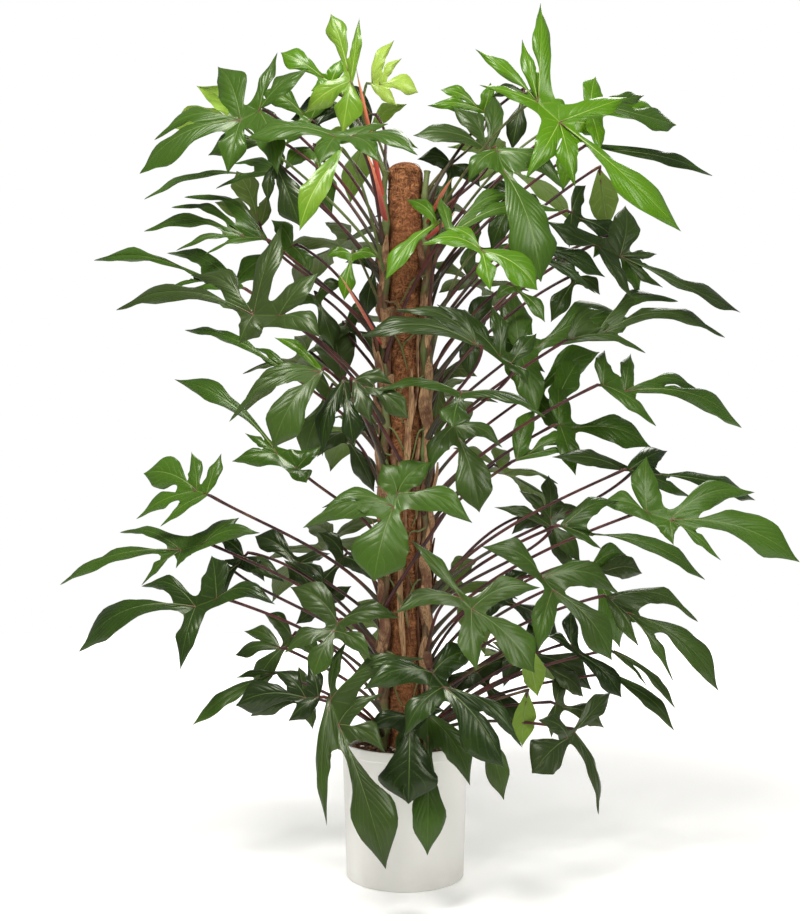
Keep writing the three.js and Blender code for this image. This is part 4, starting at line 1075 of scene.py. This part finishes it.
def leaf_finish():
    """Leaf skin: dark to pale green by freshness, pale ribs, quilted between side veins, dull below."""
    f = Finish("leaf_skin", Coat_Roughness=0.18, Specular_IOR_Level=0.28,
               Specular_Tint=(0.93, 1.0, 0.76, 1.0))
    fresh, under, reach, own = f.mark("fresh"), f.mark("under"), f.mark("reach"), f.mark("leaf")
    broad, fine = f.noise(9.0, 2.0), f.noise(160.0, 4.0, 0.6)
    tone = fresh + (broad - 0.5) * 0.28 + (own - 0.5) * 0.1
    deep = f.mix(own, rgb(21, 36, 12), rgb(54, 68, 31))
    mid = f.mix(f.step(tone, 0.08, 0.4), deep, rgb(62, 94, 24))
    light = f.mix(f.step(tone, 0.36, 0.68), mid, rgb(79, 123, 10))
    top = f.mix(f.step(tone, 0.7, 0.98), light, rgb(152, 180, 70))
    between = f.mark("vein").apart_from_whole()
    line = 1 - f.step(between, 0.0, 0.11)
    vein = line * f.step(reach, 2.0, 8.0) * (1 - f.step(f.mark("out"), 0.6, 0.95))
    rib = 1 - f.step(reach, 0.4, 1.7)
    pale = f.mix(f.step(tone, 0.2, 0.8), rgb(88, 112, 44), rgb(180, 202, 96))
    colour = f.mix(vein * 0.16, top, pale)
    colour = f.mix(rib * 0.35, colour, pale)
    colour = f.mix((fine - 0.4) * 0.3, colour, rgb(20, 34, 10))
    below = f.mix(f.step(tone, 0.15, 0.7), rgb(80, 96, 42), rgb(136, 170, 58))
    below = f.mix(vein * 0.35 + rib * 0.4, below, rgb(140, 158, 96))
    colour = f.mix(under * 0.85, colour, below)
    spots = f.step(f.noise(420.0, 1.0), 0.71, 0.78) * 0.3
    colour = f.mix(spots * (1 - under), colour, rgb(112, 126, 80))
    flat = f.step(f.mark("out"), 0.6, 1.0) * 0.8
    quilt = between.math("SQRT", between) * f.step(reach, 0.5, 9.0) * (1 - flat)
    height = quilt * (1 - under * 1.6) + fine * 0.04
    rough = 0.28 + own * 0.12 + under * 0.25 + (f.noise(30.0, 2.0) - 0.5) * 0.22
    coat = (1 - under) * (f.step(tone, 0.4, 0.8) * 0.18 + 0.11)
    f.vary("Coat Weight", coat)
    return f.finish(colour, rough, height, 0.0009)


def stalk_finish():
    """Leaf stalk skin: dusky near the stem and maroon beyond, greener on fresh leaves, finely warted."""
    f = Finish("stalk_skin", Coat_Weight=0.1, Coat_Roughness=0.3, Specular_IOR_Level=0.3)
    fresh, run = f.mark("fresh"), f.mark("run")
    patch = f.noise(28.0, 3.0)
    maroon = f.mix(f.step(patch, 0.35, 0.7), rgb(52, 20, 22), rgb(90, 42, 36))
    dusky = f.mix(patch, rgb(46, 42, 28), rgb(72, 66, 44))
    red = f.mix(f.step(run + fresh * 0.6 + (patch - 0.5) * 0.8, 0.2, 0.6), dusky, maroon)
    green = f.mix(patch, rgb(78, 92, 42), rgb(104, 120, 58))
    share = f.step(fresh + (patch - 0.5) * 0.6 + run * 0.1, 0.42, 0.9)
    colour = f.mix(share, red, green)
    warts = f.noise(900.0, 2.0)
    return f.finish(colour, 0.42 + (patch - 0.5) * 0.2, warts + f.noise(200.0) * 0.5, 0.0005)


def rib_finish():
    """Ribs under the leaves: pale green, reddish where they leave the stalk."""
    f = Finish("rib_skin", Roughness=0.45)
    fresh, run = f.mark("fresh"), f.mark("run")
    green = f.mix(f.step(fresh, 0.1, 0.8), rgb(80, 98, 48), rgb(156, 182, 92))
    colour = f.mix(1 - f.step(run + (f.noise(60.0) - 0.5) * 0.15, 0.0, 0.14), green, rgb(98, 62, 44))
    return f.finish(colour, None, f.noise(500.0), 0.0003)


def bark_finish():
    """Climbing stem: grey-green skin that goes brown, with cracks drawn out along it."""
    f = Finish("stem_bark", Roughness=0.7)
    cracks = f.noise(420.0, 4.0, 0.65, f.scaled(f.place(), 1.0, 1.0, 0.12))
    patch = f.noise(22.0, 3.0)
    green = f.mix(cracks, rgb(70, 88, 40), rgb(112, 120, 66))
    brown = f.mix(cracks, rgb(74, 52, 34), rgb(142, 112, 78))
    share = f.step(patch + f.mark("young") * 0.35, 0.42, 0.62)
    colour = f.mix(share, brown, green)
    colour = f.mix(f.step(cracks, 0.62, 0.72) * 0.5, colour, rgb(40, 32, 22))
    return f.finish(colour, 0.62 + (cracks - 0.5) * 0.3, cracks, 0.0012)


def paper_finish():
    """Dry sheath: tan paper with straight fibres along it, bleached and stained in patches."""
    f = Finish("dry_sheath", Roughness=0.8)
    fibre = f.noise(700.0, 3.0, 0.6, f.scaled(f.place(), 1.0, 1.0, 0.06))
    patch = f.noise(35.0, 3.0)
    tan = f.mix(f.step(fibre, 0.3, 0.7), rgb(112, 78, 50), rgb(186, 148, 106))
    colour = f.mix(f.step(patch + (f.mark("dry") - 0.5) * 0.5, 0.4, 0.7), tan, rgb(96, 58, 38))
    return f.finish(colour, 0.78 + (patch - 0.5) * 0.2, fibre, 0.0006)


def pink_finish():
    """Young sheath: coral pink, paler to the tip, streaked along its length, faintly glossy."""
    f = Finish("young_sheath", Coat_Weight=0.15, Coat_Roughness=0.3)
    streak = f.noise(600.0, 3.0, 0.6, f.scaled(f.place(), 1.0, 1.0, 0.08))
    run = f.mark("run")
    colour = f.mix(f.step(run + (streak - 0.5) * 0.5, 0.2, 0.9), rgb(176, 66, 52), rgb(214, 128, 92))
    colour = f.mix(f.step(run, 0.8, 1.0), colour, rgb(190, 176, 110))
    return f.finish(colour, 0.42 + (streak - 0.5) * 0.2, streak, 0.0005)


def coir_finish():
    """Coir: red-brown mat, the greater of two noises that are drawn out level and upright, dark between."""
    f = Finish("coir_mat", Roughness=0.95, Specular_IOR_Level=0.2)
    sway = f.node("ShaderNodeTexNoise", {}, {"Vector": f.place(), "Scale": 40.0}, 1)
    sway = f.scaled(sway, 0.02, 0.02, 0.02)
    bent = f.node("ShaderNodeVectorMath", {"operation": "ADD"}, {0: f.place(), 1: sway})
    level = f.noise(260.0, 4.0, 0.7, f.scaled(bent, 0.35, 0.35, 1.0))
    upright = f.noise(300.0, 4.0, 0.7, f.scaled(bent, 1.0, 1.0, 0.3))
    mat = level.math("MAXIMUM", level, upright)
    patch = f.noise(14.0, 3.0)
    colour = f.mix(f.step(mat, 0.42, 0.72), rgb(82, 48, 28), rgb(188, 128, 84))
    colour = f.mix(f.step(patch, 0.35, 0.75) * 0.55, colour, rgb(140, 86, 54))
    return f.finish(colour, None, mat, 0.004)


def soil_finish():
    """Potting soil: nearly black peat with brown bark chips and a few pale grains."""
    f = Finish("potting_soil", Roughness=0.95, Specular_IOR_Level=0.2)
    chip = f.mark("chip")
    grain = f.noise(500.0, 4.0, 0.7)
    earth = f.mix(f.step(grain, 0.3, 0.75), rgb(28, 20, 15), rgb(78, 58, 44))
    bark = f.mix(f.step(chip, 0.3, 0.85), rgb(62, 42, 28), rgb(124, 88, 60))
    colour = f.mix(f.step(chip, 0.05, 0.15), earth, bark)
    colour = f.mix(f.step(chip, 0.95, 0.97), colour, rgb(216, 210, 198))
    return f.finish(colour, None, grain, 0.0018)


def pot_finish():
    """Pot: white moulded plastic with a fine satin grain and faint greying towards the foot."""
    f = Finish("pot_plastic", Coat_Weight=0.1, Coat_Roughness=0.3)
    height = f.node("ShaderNodeSeparateXYZ", {}, {0: f.place()}, 2)
    haze = f.noise(12.0, 4.0)
    # Greyer in noise patches over the lowest 6 cm of the pot.
    foot_greying = (1 - f.step(height, 0.0, 0.06)) * f.step(haze, 0.35, 0.8)
    colour = f.mix(foot_greying * 0.4 + (haze - 0.5) * 0.08 + 0.04, rgb(228, 227, 222), rgb(190, 184, 172))
    return f.finish(colour, 0.4 + (haze - 0.5) * 0.12, f.noise(1400.0, 2.0), 0.00012)


def core_finish():
    """Tube inside the pole: dark brown moulded plastic with a dull, scuffed skin."""
    f = Finish("pole_tube", Roughness=0.6)
    scuff = f.noise(90.0, 4.0)
    return f.finish(f.mix(scuff, rgb(58, 50, 44), rgb(92, 82, 72)), 0.5 + scuff * 0.2, scuff, 0.0004)


def floor_finish():
    """Studio floor: off-white, with a glow that grows outwards till it runs into the white around it."""
    f = Finish("studio_floor", Roughness=0.8, Specular_IOR_Level=0.1, Emission_Strength=1.0)
    out = f.node("ShaderNodeVectorMath", {"operation": "LENGTH"}, {0: f.place()}, "Value")
    glow = f.mix(f.step(out, 0.8, 2.1), (0.12, 0.12, 0.12, 1.0), (0.6, 0.6, 0.6, 1.0))
    f.vary("Emission Color", glow)
    return f.finish(f.mix(f.noise(3.0), rgb(250, 250, 249), rgb(246, 246, 245)))


def aim(thing, spot, target):
    """Puts a camera or lamp at a spot and points its -Z axis at the target."""
    thing.location = spot
    thing.rotation_euler = (Vector(target) - Vector(spot)).to_track_quat("-Z", "Y").to_euler()


def set_camera():
    """The photograph's own view: level with the plant's upper half, 2.9 m in front, a little downwards."""
    data = bpy.data.cameras.new("photo_camera")
    data.lens = LENS
    data.sensor_width = SENSOR
    camera = linked("photo_camera", data)
    aim(camera, EYE * MM, AIM * MM)
    scene.camera = camera


def set_studio():
    """White surroundings, a pale floor, and three soft lights: front left and high, front right, behind."""
    world = bpy.data.worlds.new("studio")
    world.use_nodes = True
    tree = world.node_tree
    seen = tree.nodes.new("ShaderNodeLightPath").outputs["Is Camera Ray"]
    strength = tree.nodes.new("ShaderNodeMapRange")
    strength.inputs["To Min"].default_value = SURROUNDINGS
    strength.inputs["To Max"].default_value = 1.0
    tree.links.new(seen, strength.inputs["Value"])
    tree.links.new(strength.outputs[0], tree.nodes["Background"].inputs["Strength"])
    tree.nodes["Background"].inputs["Color"].default_value = (1, 1, 1, 1)
    scene.world = world
    for name, spot, size, power in LAMPS:
        lamp = bpy.data.lights.new(name, "AREA")
        lamp.size = size
        lamp.energy = power
        lamp.color = LAMP_COLOUR
        aim(linked(name, lamp), spot, PLANT_MIDDLE)
    run = np.linspace(-FLOOR_HALF, FLOOR_HALF, 3)
    y, x = np.meshgrid(run, run, indexing="ij")
    floor = Mesher()
    floor.grid(np.stack([x, y, 0 * x - FLOOR_DROP], -1))
    plane = linked("floor", floor.mesh("floor", floor_finish()))


set_camera()
set_studio()

pot_piece(pot_finish())
soil_piece(soil_finish())
coir_pieces(coir_finish())
stem_pieces(bark_finish(), paper_finish())
pink_sheaths(pink_finish())
leaf_pieces(leaf_finish(), rib_finish(), stalk_finish())

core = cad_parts["pole_core"]
core.data.materials.clear()
core.data.materials.append(core_finish())
